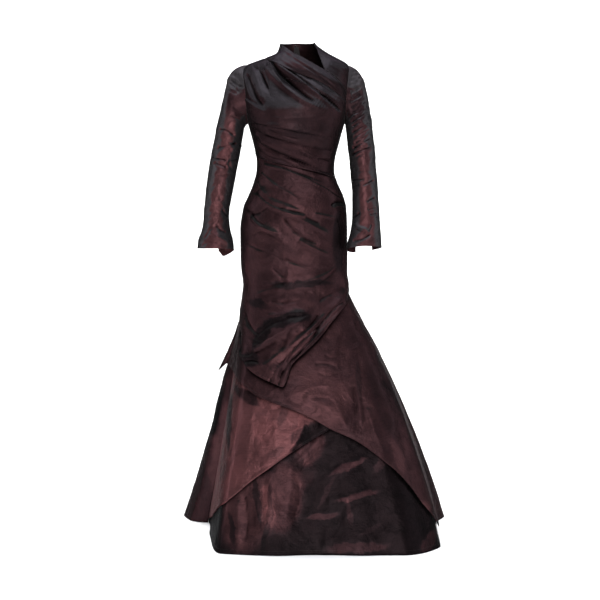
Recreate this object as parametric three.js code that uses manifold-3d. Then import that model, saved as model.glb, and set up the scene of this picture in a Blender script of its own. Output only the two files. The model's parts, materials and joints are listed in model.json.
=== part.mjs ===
// Evening gown in shot taffeta, filled out as it is worn: draped bodice with a diagonal neck band,
// long flared sleeves, swagged hip drape, and wrapped skirt layers that sweep out to a short train.
// Millimetres, +Z up. The construction measures heights from the floor and the exported group is
// lowered, so that the origin is the middle of the gown at shoulder height, where the wearer holds it.
// Angles run round the body in degrees: 0 is the front (-Y), 90 the wearer's left (+X), 180 the back.
import * as THREE from 'three';
import Module from 'manifold-3d';

// Driving sizes
const collarHeight = 1576;
const collarDip = 8;
const shoulderHeight = 1500;
const underarmHeight = 1313;
const flareHeight = 800;
const waistSeamRight = 1217;
const waistSeamLeft = 1124;
const clothWall = 2;
const seamGap = 0.32;
const armholeGap = 1.2;
const layerPitch = 2.4;
const columnStep = 7.5;
const turnStep = 18;
const bandTurn = 108;
const armholeForward = 24;
const armholeBackward = 22;
const sideSeamAngle = 0.09;
const backSeamAngle = 0.16;
const yokeSeamAngle = 0.4;
const waistRoll = { rise: 3, height: 14 };
const bandSwell = 7;
const backOverSkirt = 1.6;
const hipBlouse = { hip: 4, skirt: 7 };
const hemPuff = { rise: 9, wave: 4, waves: 9, above: 20, reach: 26 };
const layerSpread = { from: 480, to: 800, wrap: 4, under: 6 };
const sleeveSeamTurn = 252;

// Half-sizes of the figure that the cloth fills, from the thigh to the top of the collar:
// to the wearer's right (-X) and left (+X), to the front and to the back
const figure = [
  { height: 800, right: 166, left: 163, front: 107, back: 106 },
  { height: 845, right: 173, left: 163, front: 108, back: 112 },
  { height: 893, right: 177, left: 164, front: 110, back: 120 },
  { height: 970, right: 178, left: 164, front: 112, back: 127 },
  { height: 1047, right: 168, left: 160, front: 110, back: 118 },
  { height: 1085, right: 152, left: 150, front: 106, back: 106 },
  { height: 1124, right: 136, left: 133, front: 101, back: 92 },
  { height: 1165, right: 126, left: 122, front: 97, back: 83 },
  { height: 1190, right: 125, left: 123, front: 99, back: 82 },
  { height: 1258, right: 138, left: 139, front: 114, back: 93 },
  { height: 1313, right: 153, left: 154, front: 131, back: 103 },
  { height: 1345, right: 162, left: 162, front: 134, back: 107 },
  { height: 1400, right: 171, left: 171, front: 118, back: 110 },
  { height: 1450, right: 174, left: 174, front: 94, back: 105 },
  { height: 1480, right: 171, left: 173, front: 81, back: 95 },
  { height: 1492, right: 164, left: 170, front: 76, back: 91 },
  { height: 1500, right: 153, left: 165, front: 72, back: 88 },
  { height: 1507, right: 135, left: 157, front: 69, back: 85 },
  { height: 1520, right: 99, left: 133, front: 64, back: 78 },
  { height: 1532, right: 66, left: 110, front: 61, back: 72 },
  { height: 1545, right: 57, left: 88, front: 57, back: 67 },
  { height: 1558, right: 53, left: 69, front: 55, back: 63 },
  { height: 1576, right: 49, left: 55, front: 53, back: 61 },
];
const fullness = 0.04;

// Outline of the skirt on the floor. A bow above 0 flares early, one below 0 flares late.
const floorOutline = [
  { angle: -180, x: 70, y: 615, bow: -0.45 },
  { angle: -150, x: -190, y: 575, bow: -0.4 },
  { angle: -130, x: -340, y: 440, bow: -0.25 },
  { angle: -116, x: -388, y: 318, bow: -0.16 },
  { angle: -105, x: -356, y: 195, bow: -0.13 },
  { angle: -97, x: -324, y: 172, bow: -0.1 },
  { angle: -90, x: -304, y: 165, bow: -0.06 },
  { angle: -75, x: -290, y: -20, bow: 0.04 },
  { angle: -60, x: -268, y: -195, bow: 0.05 },
  { angle: -45, x: -226, y: -315, bow: 0.03 },
  { angle: -20, x: -66, y: -342, bow: 0 },
  { angle: 0, x: 60, y: -336, bow: 0 },
  { angle: 20, x: 180, y: -339, bow: 0 },
  { angle: 45, x: 320, y: -338, bow: 0.12 },
  { angle: 58, x: 410, y: -280, bow: 0.28 },
  { angle: 70, x: 460, y: -190, bow: 0.4 },
  { angle: 82, x: 466, y: -10, bow: 0.46 },
  { angle: 92, x: 474, y: 165, bow: 0.42 },
  { angle: 104, x: 508, y: 285, bow: 0.32 },
  { angle: 125, x: 436, y: 458, bow: 0 },
  { angle: 150, x: 270, y: 580, bow: -0.35 },
];
const flareEase = 0.025;
const levelBelow = { from: 780, to: 900 };
const fluteGrowth = 1.6;

// Soft flutes that all the skirt layers share, deepest at the floor
const flutes = [
  { angle: -165, depth: 30, wide: 11 },
  { angle: -140, depth: 26, wide: 9 },
  { angle: -52, depth: 9, wide: 8 },
  { angle: -18, depth: 7, wide: 9 },
  { angle: 24, depth: 8, wide: 9 },
  { angle: 52, depth: 9, wide: 9 },
  { angle: 118, depth: 18, wide: 8 },
  { angle: 141, depth: 28, wide: 9 },
  { angle: 168, depth: 32, wide: 11 },
];

// Lower and upper edge of the neck band
const bandEdges = [
  { angle: -90, low: 1521, high: 1568 },
  { angle: -60, low: 1517, high: 1562 },
  { angle: -42, low: 1509, high: 1554 },
  { angle: -22, low: 1491, high: 1542 },
  { angle: -8, low: 1473, high: 1532 },
  { angle: 6, low: 1457, high: 1520 },
  { angle: 18, low: 1444, high: 1498 },
  { angle: 28, low: 1431, high: 1480 },
  { angle: 40, low: 1411, high: 1460 },
  { angle: 53, low: 1392, high: 1434 },
  { angle: 67, low: 1379, high: 1409 },
];
// Inner edge of the left yoke: up along the band, then up the open neckline to the collar
const yokeBandAngles = [64, 56, 48, 40, 34, 30];
const neckline = [
  { angle: 29, height: 1486 },
  { angle: 28.5, height: 1500 },
  { angle: 32, height: 1518 },
  { angle: 40, height: 1536 },
  { angle: 56, height: 1558 },
];
// Seam from the left armhole over the shoulder to the collar, which comes forward near the neck
const shoulderSeam = [
  { height: 1500, angle: 89.9 },
  { height: 1512, angle: 84 },
  { height: 1525, angle: 78 },
  { height: 1538, angle: 74 },
  { height: 1552, angle: 70 },
  { height: 1566, angle: 66 },
];

// Hem heights of the skirt layers by angle
const drapeHem = [
  { angle: -90, height: 735 },
  { angle: -75, height: 702 },
  { angle: -65, height: 655 },
  { angle: -60, height: 612 },
  { angle: -51, height: 583 },
  { angle: -43, height: 551 },
  { angle: -32, height: 523 },
  { angle: -21, height: 503 },
  { angle: -15, height: 494 },
  { angle: -7.5, height: 560 },
  { angle: 5, height: 601 },
  { angle: 17, height: 638 },
  { angle: 32, height: 688 },
  { angle: 47, height: 730 },
  { angle: 68, height: 776 },
  { angle: 90, height: 800 },
];
const overskirtHem = [
  { angle: -105, height: 517 },
  { angle: -90, height: 544 },
  { angle: -72, height: 530 },
  { angle: -47, height: 496 },
  { angle: -32, height: 462 },
  { angle: -10, height: 427 },
  { angle: 6, height: 394 },
  { angle: 17, height: 365 },
  { angle: 34, height: 328 },
  { angle: 42, height: 298 },
  { angle: 50, height: 253 },
  { angle: 56, height: 194 },
  { angle: 61, height: 138 },
  { angle: 70, height: 68 },
  { angle: 84, height: 20 },
  { angle: 97, height: 2 },
  { angle: 112.5, height: 0 },
];
const wrapHem = [
  { angle: -90, height: 14 },
  { angle: -73, height: 62 },
  { angle: -58, height: 118 },
  { angle: -43, height: 162 },
  { angle: -29, height: 228 },
  { angle: -13, height: 287 },
  { angle: 5, height: 339 },
  { angle: 16, height: 366 },
  { angle: 34, height: 410 },
  { angle: 60, height: 480 },
  { angle: 90, height: 590 },
];
const sharedLevels = [850, 825, 800, 778, 745, 700];
const tuckedLevels = 3;

// Pleats and folds across the front, as they lie from the front: each runs from its start past
// its middle to its end. Its rise is outward, and lip narrows its lower side to a step.
const bodiceFolds = [
  { x0: -84, z0: 1500, x1: -8, z1: 1447, x2: 140, z2: 1350, rise: 14, wide: 20, lip: 0.6 },
  { x0: -100, z0: 1492, x1: -24, z1: 1412, x2: 116, z2: 1330, rise: 10, wide: 22, lip: 0.6 },
  { x0: -132, z0: 1482, x1: -117, z1: 1428, x2: -100, z2: 1366, rise: 5, wide: 14, lip: 0.9 },
  { x0: -100, z0: 1300, x1: 20, z1: 1280, x2: 130, z2: 1268, rise: 6, wide: 17, lip: 0.7 },
  { x0: -130, z0: 1260, x1: -28, z1: 1216, x2: 92, z2: 1172, rise: 8, wide: 19, lip: 0.6 },
  { x0: -124, z0: 1216, x1: -20, z1: 1176, x2: 112, z2: 1136, rise: 8, wide: 18, lip: 0.7 },
];
const drapeFolds = [
  { x0: -112, z0: 1180, x1: 8, z1: 1130, x2: 132, z2: 1080, rise: 7, wide: 20, lip: 0.7 },
  { x0: -124, z0: 1102, x1: -60, z1: 1050, x2: 50, z2: 1022, rise: 10, wide: 24, lip: 0.6 },
  { x0: -60, z0: 1030, x1: 10, z1: 976, x2: 112, z2: 920, rise: 9, wide: 24, lip: 0.6 },
  { x0: -130, z0: 1010, x1: -60, z1: 950, x2: 30, z2: 905, rise: 7, wide: 28, lip: 0.7 },
  { x0: -140, z0: 604, x1: -60, z1: 670, x2: 50, z2: 704, rise: 15, wide: 30, lip: 0.6 },
  { x0: -86, z0: 520, x1: -12, z1: 600, x2: 60, z2: 676, rise: 12, wide: 24, lip: 0.7 },
];
const overskirtFolds = [
  { x0: 186, z0: 700, x1: 250, z1: 520, x2: 330, z2: 330, rise: 8, wide: 34, lip: 0.6 },
  { x0: 20, z0: 470, x1: 110, z1: 420, x2: 190, z2: 340, rise: 5, wide: 26, lip: 0.7 },
];

// Sleeve sections down the arm: middle, and half-sizes across and front to back
const sleeveTop = 1297;
const rightSleeve = {
  side: -1,
  frontHem: 917,
  shoulderReach: 200,
  shoulderDip: 0.1,
  capSpread: 0.25,
  vent: { turn: 288, height: 972, half: 24 },
  hemDrops: [
    { turn: 0, drop: 0 },
    { turn: 110, drop: 0 },
    { turn: 180, drop: 3 },
    { turn: 200, drop: 8 },
    { turn: 225, drop: 17 },
    { turn: 248, drop: 25 },
    { turn: 264, drop: 9 },
    { turn: 312, drop: 1 },
    { turn: 360, drop: 0 },
  ],
  sections: [
    { height: 880, x: 256, y: -34, wide: 60, deep: 54 },
    { height: 932, x: 254.5, y: -32, wide: 57, deep: 50 },
    { height: 990, x: 253.5, y: -26, wide: 43, deep: 44 },
    { height: 1028, x: 252.5, y: -21, wide: 40, deep: 44 },
    { height: 1105, x: 243, y: -11, wide: 43, deep: 50 },
    { height: 1200, x: 227, y: -3, wide: 46, deep: 55 },
    { height: 1297, x: 209.5, y: 0, wide: 45, deep: 59 },
  ],
  creases: [
    { turn: 20, height: 1452, rise: 4, wide: 7, slant: -0.55, reach: 40 },
    { turn: 60, height: 1266, rise: 4, wide: 8, slant: -0.5, reach: 44 },
    { turn: 76, height: 1222, rise: 6, wide: 10, slant: 0.45, reach: 40 },
    { turn: 64, height: 1178, rise: 6, wide: 9, slant: -0.5, reach: 44 },
    { turn: 84, height: 1142, rise: 4, wide: 9, slant: -0.3, reach: 36 },
    { turn: 104, height: 958, rise: 6, wide: 12, slant: -0.6, reach: 44 },
  ],
};
const leftSleeve = {
  side: 1,
  frontHem: 925,
  shoulderReach: 170,
  shoulderDip: 0.4,
  capSpread: 0.16,
  vent: { turn: 270, height: 980, half: 28 },
  hemDrops: [
    { turn: 0, drop: 4 },
    { turn: 90, drop: 0 },
    { turn: 150, drop: 6 },
    { turn: 190, drop: 15 },
    { turn: 242, drop: 21 },
    { turn: 300, drop: 13 },
    { turn: 360, drop: 4 },
  ],
  sections: [
    { height: 880, x: 216, y: -64, wide: 57, deep: 54 },
    { height: 925, x: 216, y: -58, wide: 55, deep: 50 },
    { height: 970, x: 220, y: -48, wide: 48, deep: 45 },
    { height: 1009, x: 221.5, y: -40, wide: 44, deep: 44 },
    { height: 1105, x: 218.5, y: -21, wide: 41.5, deep: 50 },
    { height: 1200, x: 211.5, y: -7, wide: 42, deep: 55 },
    { height: 1297, x: 201.5, y: 0, wide: 43.5, deep: 59 },
  ],
  creases: [
    { turn: 60, height: 1432, rise: 4, wide: 8, slant: 0.6, reach: 44 },
    { turn: 70, height: 1372, rise: 5, wide: 9, slant: 0.6, reach: 46 },
    { turn: 74, height: 1312, rise: 5, wide: 9, slant: 0.6, reach: 46 },
    { turn: 70, height: 1246, rise: 5, wide: 10, slant: 0.55, reach: 46 },
    { turn: 74, height: 1150, rise: 4, wide: 9, slant: 0.35, reach: 40 },
    { turn: 100, height: 972, rise: 5, wide: 11, slant: -0.4, reach: 40 },
  ],
};
// Lappet at the overskirt's right end, which stands off the skirt towards its tip
const lappet = { rise: 36, top: 700, tip: 517, angle: -104 };

const capRows = 6;
const armRows = 11;

// Concealed zip at the centre back, with its slider and pull tab at the top
const zip = { top: 1564, bottom: 1010, width: 22, wall: 1, behind: 1.9 };
const slider = { height: 1550, width: 6, length: 9, depth: 1, below: 1.5, seat: 0.9, pivotOut: 3.3 };
const sliderLug = { width: 1.2, length: 2, sunk: 0.5, clear: 0.35 };
const pullTab = { length: 20, width: 4.6, wall: 1.1, shoulder: 5, eye: 0.85, rim: 0.45 };
const eyeWidth = 1.2;
const pinRadius = 0.5;

const radians = THREE.MathUtils.degToRad;
const lerp = THREE.MathUtils.lerp;
const clamp = THREE.MathUtils.clamp;
const smooth = (value, from, to) => {
  const share = clamp((value - from) / (to - from), 0, 1);
  return share * share * (3 - 2 * share);
};

// Smooth curve through a table's rows that never overshoots them
function through(rows, key, at, value) {
  const last = rows.length - 1;
  const x = clamp(at, rows[0][key], rows[last][key]);
  let i = 0;
  while (i < last - 1 && rows[i + 1][key] < x) i += 1;
  const secant = (k) => (rows[k + 1][value] - rows[k][value]) / (rows[k + 1][key] - rows[k][key]);
  const slope = (k) => {
    if (k === 0) return secant(0);
    if (k === last) return secant(last - 1);
    const before = secant(k - 1);
    const after = secant(k);
    return before * after <= 0 ? 0 : (2 * before * after) / (before + after);
  };
  const step = rows[i + 1][key] - rows[i][key];
  const t = (x - rows[i][key]) / step;
  return (
    rows[i][value] * (1 + 2 * t) * (1 - t) ** 2 +
    rows[i + 1][value] * t * t * (3 - 2 * t) +
    slope(i) * step * t * (1 - t) ** 2 -
    slope(i + 1) * step * t * t * (1 - t)
  );
}

const wrapAngle = (angle) => ((((angle + 180) % 360) + 360) % 360) - 180;
const turned = (rows, by) => rows.map((row) => ({ ...row, angle: row.angle + by }));
const floorRing = [
  ...turned(floorOutline.slice(-2), -360),
  ...floorOutline,
  ...turned(floorOutline.slice(0, 2), 360),
];

function figurePoint(angle, height) {
  const across = Math.sin(radians(angle));
  const along = Math.cos(radians(angle));
  const full = 1 + fullness * Math.sin(2 * radians(angle)) ** 2;
  const half = through(figure, 'height', height, across < 0 ? 'right' : 'left');
  const deep = through(figure, 'height', height, along > 0 ? 'front' : 'back');
  return new THREE.Vector3(half * across * full, -deep * along * full, height);
}

function fluteDepth(angle, share) {
  let sum = 0;
  for (const flute of flutes) {
    const away = wrapAngle(angle - flute.angle) / flute.wide;
    sum += flute.depth * Math.exp(-away * away);
  }
  return sum * share ** fluteGrowth;
}

// Point of the form that the gown's cloth follows
function formPoint(angle, height) {
  if (height >= flareHeight) return figurePoint(angle, height);
  const thigh = figurePoint(angle, flareHeight);
  const at = wrapAngle(angle);
  const raw = (flareHeight - height) / flareHeight;
  const eased = (Math.hypot(raw, flareEase) - flareEase) / (Math.hypot(1, flareEase) - flareEase);
  const bow = through(floorRing, 'angle', at, 'bow');
  const share = eased * (1 + bow * (1 - Math.min(eased, 1)));
  const x = lerp(thigh.x, through(floorRing, 'angle', at, 'x'), share);
  const y = lerp(thigh.y, through(floorRing, 'angle', at, 'y'), share);
  const out = fluteDepth(at, Math.max(share, 0)) / Math.hypot(x, y);
  return new THREE.Vector3(x * (1 + out), y * (1 + out), height);
}

// Outward direction of the form, level below the hips so that hems stay level
function formNormal(angle, height) {
  const high = Math.min(height + 2, collarHeight);
  const round = formPoint(angle + 0.5, height).sub(formPoint(angle - 0.5, height));
  const up = formPoint(angle, high).sub(formPoint(angle, high - 4));
  const normal = round.cross(up).normalize();
  normal.z *= smooth(height, levelBelow.from, levelBelow.to);
  return normal.normalize();
}

// Height above the cloth of a table of folds, seen from the front
function foldRise(folds, x, z) {
  let sum = 0;
  for (const fold of folds) {
    const midX = 2 * fold.x1 - (fold.x0 + fold.x2) / 2;
    const midZ = 2 * fold.z1 - (fold.z0 + fold.z2) / 2;
    let best = Infinity;
    let bestT = 0;
    let below = false;
    const samples = 24;
    for (let k = 0; k <= samples; k += 1) {
      const t = k / samples;
      const px = (1 - t) ** 2 * fold.x0 + 2 * t * (1 - t) * midX + t * t * fold.x2;
      const pz = (1 - t) ** 2 * fold.z0 + 2 * t * (1 - t) * midZ + t * t * fold.z2;
      const away = Math.hypot(x - px, z - pz);
      if (away < best) {
        best = away;
        bestT = t;
        below = z < pz;
      }
    }
    const reach = fold.wide * (below ? fold.lip : 1);
    const ends = smooth(bestT, 0, 0.12) * (1 - smooth(bestT, 0.8, 1));
    sum += fold.rise * ends * Math.exp(-((best / reach) ** 2));
  }
  return sum;
}

// Closed wall of cloth from a grid of outer points and the inner points behind them
function wallGeometry(columns, rows, outerAt, innerAt) {
  const across = columns + 1;
  const layer = across * (rows + 1);
  const positions = [];
  for (const at of [outerAt, innerAt])
    for (let j = 0; j <= rows; j += 1)
      for (let i = 0; i <= columns; i += 1) positions.push(...at(i, j).toArray());
  const index = [];
  const quad = (a, b, c, d) => index.push(a, b, d, b, c, d);
  for (let j = 0; j < rows; j += 1)
    for (let i = 0; i < columns; i += 1) {
      const a = j * across + i;
      quad(a, a + 1, a + across + 1, a + across);
      const b = layer + a;
      quad(b, b + across, b + across + 1, b + 1);
    }
  for (let i = 0; i < columns; i += 1) {
    const top = rows * across + i;
    quad(i, layer + i, layer + i + 1, i + 1);
    quad(top, top + 1, layer + top + 1, layer + top);
  }
  for (let j = 0; j < rows; j += 1) {
    const a = j * across;
    const b = a + columns;
    quad(a, a + across, layer + a + across, layer + a);
    quad(b, layer + b, layer + b + across, b + across);
  }
  const geometry = new THREE.BufferGeometry();
  geometry.setAttribute('position', new THREE.Float32BufferAttribute(positions, 3));
  geometry.setIndex(signedVolume(positions, index) < 0 ? index.reverse() : index);
  geometry.computeVertexNormals();
  return geometry;
}

function signedVolume(positions, index) {
  let sum = 0;
  const corner = (k) => new THREE.Vector3().fromArray(positions, index[k] * 3);
  for (let k = 0; k < index.length; k += 3)
    sum += corner(k).dot(corner(k + 1).cross(corner(k + 2)));
  return sum;
}

// Panel on the form: lay gives the angle and height of a grid point, rise how far its face is out
function formPanel(columns, rows, lay, rise, wall = clothWall) {
  const place = (i, j, back) => {
    const [angle, height] = lay(i, j);
    const point = formPoint(angle, height);
    const out = rise(angle, height, point) - back;
    return point.addScaledVector(formNormal(angle, height), out);
  };
  return wallGeometry(columns, rows, (i, j) => place(i, j, 0), (i, j) => place(i, j, wall));
}

// The armhole is an oval round the shoulder: turn 0 is its top, 90 the front, 180 the underarm
function armholeEdge(side, turn) {
  const middle = (shoulderHeight + underarmHeight) / 2;
  const height = middle + ((shoulderHeight - underarmHeight) / 2) * Math.cos(radians(turn));
  const swing = Math.sin(radians(turn));
  const angle = 90 - (swing > 0 ? armholeForward : armholeBackward) * swing;
  return [side * angle, height];
}

const steps = (count, from, to) =>
  Array.from({ length: count }, (unused, k) => lerp(from, to, (k + 1) / count));
const seamAngle = (side, back) => side * (90 + (back ? 1 : -1) * sideSeamAngle);

// Edge of a panel up the side seam, round the armhole and over the shoulder, as angles and heights
function sideEdge(side, back, heights, lastTurn, above) {
  const edge = heights.map((height) => [seamAngle(side, back), height]);
  const turns = Math.round((180 - lastTurn) / turnStep);
  for (let k = 1; k <= turns; k += 1) {
    const turn = 180 - k * turnStep;
    edge.push(armholeEdge(side, back ? -turn : turn));
    if (turn === 0) edge[edge.length - 1][0] = seamAngle(side, back);
  }
  return [...edge, ...above];
}

const bandLow = (angle) => through(bandEdges, 'angle', angle, 'low');
const bandHigh = (angle) => through(bandEdges, 'angle', angle, 'high');

function bodiceFront() {
  const columns = 26;
  const seamSteps = 12;
  const rightTop = bandLow(-90) - seamGap;
  const shoulderRows = [lerp(shoulderHeight, rightTop, 0.5), rightTop];
  const above = shoulderRows.map((height) => [seamAngle(-1, false), height]);
  const rightSeam = [waistSeamRight, ...steps(seamSteps, waistSeamRight, underarmHeight)];
  const rightEdge = sideEdge(-1, false, rightSeam, 0, above);
  const rows = rightEdge.length - 1;
  const armTurns = (180 - bandTurn) / turnStep;
  const leftSeam = [waistSeamLeft, ...steps(rows - armTurns, waistSeamLeft, underarmHeight)];
  const leftEdge = sideEdge(1, false, leftSeam, bandTurn, []);
  const [lastAngle, leftTop] = leftEdge[rows];
  const lay = (i, j) => {
    const u = i / columns;
    const angle = lerp(rightEdge[j][0], leftEdge[j][0], u);
    const top = bandLow(lerp(-90, lastAngle, u)) - seamGap;
    const topShare = clamp((rightTop - top) / (rightTop - leftTop), 0, 1);
    const blend = (j / rows) ** 2;
    return [angle, lerp(rightEdge[j][1], leftEdge[j][1], lerp(u, topShare, blend))];
  };
  const rise = (angle, height, point) => {
    const seam = lerp(waistSeamRight, waistSeamLeft, (angle + 90) / 180);
    const roll = waistRoll.rise * (1 - smooth(height, seam, seam + waistRoll.height));
    return sideInset(angle) * (roll + foldRise(bodiceFolds, point.x, point.z));
  };
  return formPanel(columns, rows, lay, rise);
}

// Folds fade out towards the side seams and the armholes
const sideInset = (angle) => smooth(90 - Math.abs(angle), 0, 10) * (1 - smooth(angle, 54, 65));

function neckBand() {
  const columns = 22;
  const rows = 4;
  const end = 90 - armholeForward - 0.3;
  const lay = (i, j) => {
    const angle = lerp(seamAngle(-1, false), end, i / columns);
    return [angle, lerp(bandLow(angle), bandHigh(angle), j / rows)];
  };
  const rise = (angle, height, point) => {
    const share = (height - bandLow(angle)) / (bandHigh(angle) - bandLow(angle));
    const lift = smooth(angle, -80, -30) * (1 - smooth(angle, 40, 64));
    const cover = sideInset(angle) * Math.max(0, foldRise(bodiceFolds, point.x, point.z));
    return cover * (1 - share) + bandSwell * lift * Math.sin(Math.PI * share);
  };
  return formPanel(columns, rows, lay, rise);
}

function yokeLeft() {
  const columns = 6;
  const inner = [
    ...yokeBandAngles.map((angle) => [angle, bandHigh(angle) + 2 * seamGap]),
    ...neckline.map((row) => [row.angle, row.height]),
  ];
  const outer = [
    ...[86, 72, 54, 36, 18].map((turn) => armholeEdge(1, turn)),
    ...shoulderSeam.map((row) => [row.angle, row.height]),
  ];
  const lay = (i, j) => {
    const u = i / columns;
    return [lerp(inner[j][0], outer[j][0], u), lerp(inner[j][1], outer[j][1], u)];
  };
  return formPanel(columns, inner.length - 1, lay, () => 0);
}

function torsoBack(side) {
  const columns = 7;
  const tucked = sharedLevels.slice(0, tuckedLevels).reverse();
  const seam = [...tucked, ...steps(13, sharedLevels[0], underarmHeight)];
  const above = shoulderSeam.slice(1).map((row) => {
    const angle = side > 0 ? row.angle + yokeSeamAngle : seamAngle(-1, true);
    return [angle, row.height];
  });
  const edge = sideEdge(side, true, seam, 0, above);
  const lay = (i, j) => {
    const u = i / columns;
    const collarRow = j === edge.length - 1;
    const height = collarRow ? lerp(collarHeight - collarDip, collarHeight, u) : edge[j][1];
    return [lerp(edge[j][0], side * (180 - backSeamAngle), u), height];
  };
  const overSkirt = (angle, height) =>
    backOverSkirt * (1 - smooth(height, sharedLevels[0], sharedLevels[0] + 50));
  return formPanel(columns, edge.length - 1, lay, overSkirt);
}

function hipDrape() {
  const columns = Math.round(180 / columnStep);
  const rows = 17;
  const lay = (i, j) => {
    const angle = lerp(seamAngle(-1, false), seamAngle(1, false), i / columns);
    const seam = lerp(waistSeamRight, waistSeamLeft, i / columns) - seamGap;
    return [angle, lerp(through(drapeHem, 'angle', angle, 'height'), seam, j / rows)];
  };
  const rise = (angle, height, point) => {
    const hem = through(drapeHem, 'angle', angle, 'height');
    const front = smooth(angle, -84, -50);
    const blouse =
      hipBlouse.hip * (1 - smooth(height, 780, 845)) +
      hipBlouse.skirt * front * (1 - smooth(height, 620, 800));
    const edge = Math.exp(-(((height - hem - hemPuff.above) / hemPuff.reach) ** 2));
    const puff = hemPuff.rise + hemPuff.wave * Math.sin(radians(angle * hemPuff.waves));
    const gathers = edge * puff * smooth(angle, -30, -5) * (1 - smooth(angle, 70, 90));
    const folds = smooth(90 - Math.abs(angle), 0, 10) * foldRise(drapeFolds, point.x, point.z);
    return blouse + gathers + folds;
  };
  return formPanel(columns, rows, lay, rise);
}

// Skirt layer that hangs from the thigh: its first rows are level, and the rest run to its hem
function skirtLayer({ from, to, hem, rows, rise }) {
  const columns = Math.round((to - from) / columnStep);
  const level = sharedLevels.length - 1;
  const lay = (i, j) => {
    const angle = lerp(from, to, i / columns);
    if (j <= level) return [angle, sharedLevels[j]];
    return [angle, lerp(sharedLevels[level], hem(angle), (j - level) / rows)];
  };
  return formPanel(columns, level + rows, lay, rise);
}

const spreadShare = (height) => 1 - smooth(height, layerSpread.from, layerSpread.to);
const layerRise = (depth, spread) => (angle, height) =>
  -depth * layerPitch - spread * spreadShare(height);

function overskirt() {
  const base = layerRise(1, 0);
  return skirtLayer({
    from: -105,
    to: 112.5,
    rows: 7,
    hem: (angle) => through(overskirtHem, 'angle', angle, 'height'),
    rise: (angle, height, point) => {
      const free = 1 - smooth(height, 600, 690);
      const fall = clamp((lappet.top - height) / (lappet.top - lappet.tip), 0, 1);
      const stand = lappet.rise * fall ** 1.4 * smooth(-angle, 66, -lappet.angle);
      return base(angle, height) + stand + free * foldRise(overskirtFolds, point.x, point.z);
    },
  });
}

function wrapPanel() {
  return skirtLayer({
    from: seamAngle(-1, false),
    to: seamAngle(1, false),
    rows: 6,
    hem: (angle) => through(wrapHem, 'angle', angle, 'height'),
    rise: layerRise(2, layerSpread.wrap),
  });
}

function underskirtFront() {
  return skirtLayer({
    from: seamAngle(-1, false),
    to: seamAngle(1, false),
    rows: 6,
    hem: () => 0,
    rise: layerRise(3, layerSpread.under),
  });
}

function skirtBack() {
  return skirtLayer({
    from: 90 + sideSeamAngle,
    to: 270 - sideSeamAngle,
    rows: 7,
    hem: () => 0,
    rise: (angle, height) => {
      const tucked = 1 - smooth(angle, 112, 124) + smooth(angle, 244, 256);
      const spread = layerSpread.wrap * spreadShare(height);
      return -layerPitch * (1 + clamp(tucked, 0, 1)) - tucked * spread;
    },
  });
}

// Point of a sleeve: stage 0 to 1 is the cap from armhole to arm, 1 to 2 the arm down to the hem
function sleevePoint(sleeve, turn, stage) {
  const { side, sections } = sleeve;
  const cos = Math.cos(radians(turn));
  const sin = Math.sin(radians(turn));
  const section = (height) => {
    const size = (name) => through(sections, 'height', height, name);
    const x = size('x') + size('wide') * cos;
    return new THREE.Vector3(side * x, size('y') - size('deep') * sin, height);
  };
  if (stage >= 1) return section(lerp(sleeveTop, sleeveHem(sleeve, turn), stage - 1));
  const [angle, height] = armholeEdge(side, turn);
  const gap = lerp(armholeGap, seamGap, smooth(Math.abs(wrapAngle(turn - 180)), 20, 70));
  const start = formPoint(angle, height).add(new THREE.Vector3(side * gap, 0, 0));
  const end = section(sleeveTop);
  const span = start.distanceTo(end);
  const top = (1 + cos) / 2;
  const leave = new THREE.Vector3(side, 0, -lerp(0.7, sleeve.shoulderDip, top));
  leave.setLength(lerp(span * 0.8, sleeve.shoulderReach, top * top));
  const arrive = new THREE.Vector3(side * sleeve.capSpread, 0, -1);
  arrive.multiplyScalar(span * lerp(0.7, 2.2, top));
  const t = stage;
  return start
    .multiplyScalar((1 + 2 * t) * (1 - t) ** 2)
    .addScaledVector(end, t * t * (3 - 2 * t))
    .addScaledVector(leave, t * (1 - t) ** 2)
    .addScaledVector(arrive, -t * t * (1 - t));
}

function sleeveHem(sleeve, turn) {
  const round = ((turn % 360) + 360) % 360;
  return sleeve.frontHem - through(sleeve.hemDrops, 'turn', round, 'drop');
}

function creaseRise(sleeve, turn, point) {
  let sum = 0;
  for (const crease of sleeve.creases) {
    const round = wrapAngle(turn - crease.turn);
    const away = (point.z - crease.height - crease.slant * round) / crease.wide;
    sum += crease.rise * Math.exp(-away * away - (round / crease.reach) ** 2);
  }
  return sum;
}

function sleeveGeometry(sleeve) {
  const columns = 360 / turnStep;
  const rows = capRows + armRows;
  const stageOf = (j) => (j <= capRows ? j / capRows : 1 + (j - capRows) / armRows);
  const turnOf = (i, j) => {
    const stage = stageOf(j);
    const height = lerp(sleeveTop, sleeveHem(sleeve, 270), Math.max(0, stage - 1));
    const { vent } = sleeve;
    const open = clamp((vent.height - height) / (vent.height - sleeve.frontHem), 0, 1);
    const half = lerp(0.2, vent.half, open);
    const middle = lerp(sleeveSeamTurn, vent.turn, smooth(stage, 1, 1.5));
    return lerp(middle + half, middle + 360 - half, i / columns);
  };
  const place = (i, j, back) => {
    const turn = turnOf(i, j);
    const stage = stageOf(j);
    const point = sleevePoint(sleeve, turn, stage);
    const round = sleevePoint(sleeve, turn + 2, stage).sub(sleevePoint(sleeve, turn - 2, stage));
    const start = Math.max(stage - 0.02, 0);
    const end = Math.min(start + 0.04, 2);
    const down = sleevePoint(sleeve, turn, end).sub(sleevePoint(sleeve, turn, start));
    const normal = down.cross(round).multiplyScalar(sleeve.side).normalize();
    const free = smooth(stage, 0.1, 0.5);
    return point.addScaledVector(normal, free * creaseRise(sleeve, turn, point) - back);
  };
  const outer = (i, j) => place(i, j, 0);
  const inner = (i, j) => place(i, j, clothWall);
  return wallGeometry(columns, rows, outer, inner);
}

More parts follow.
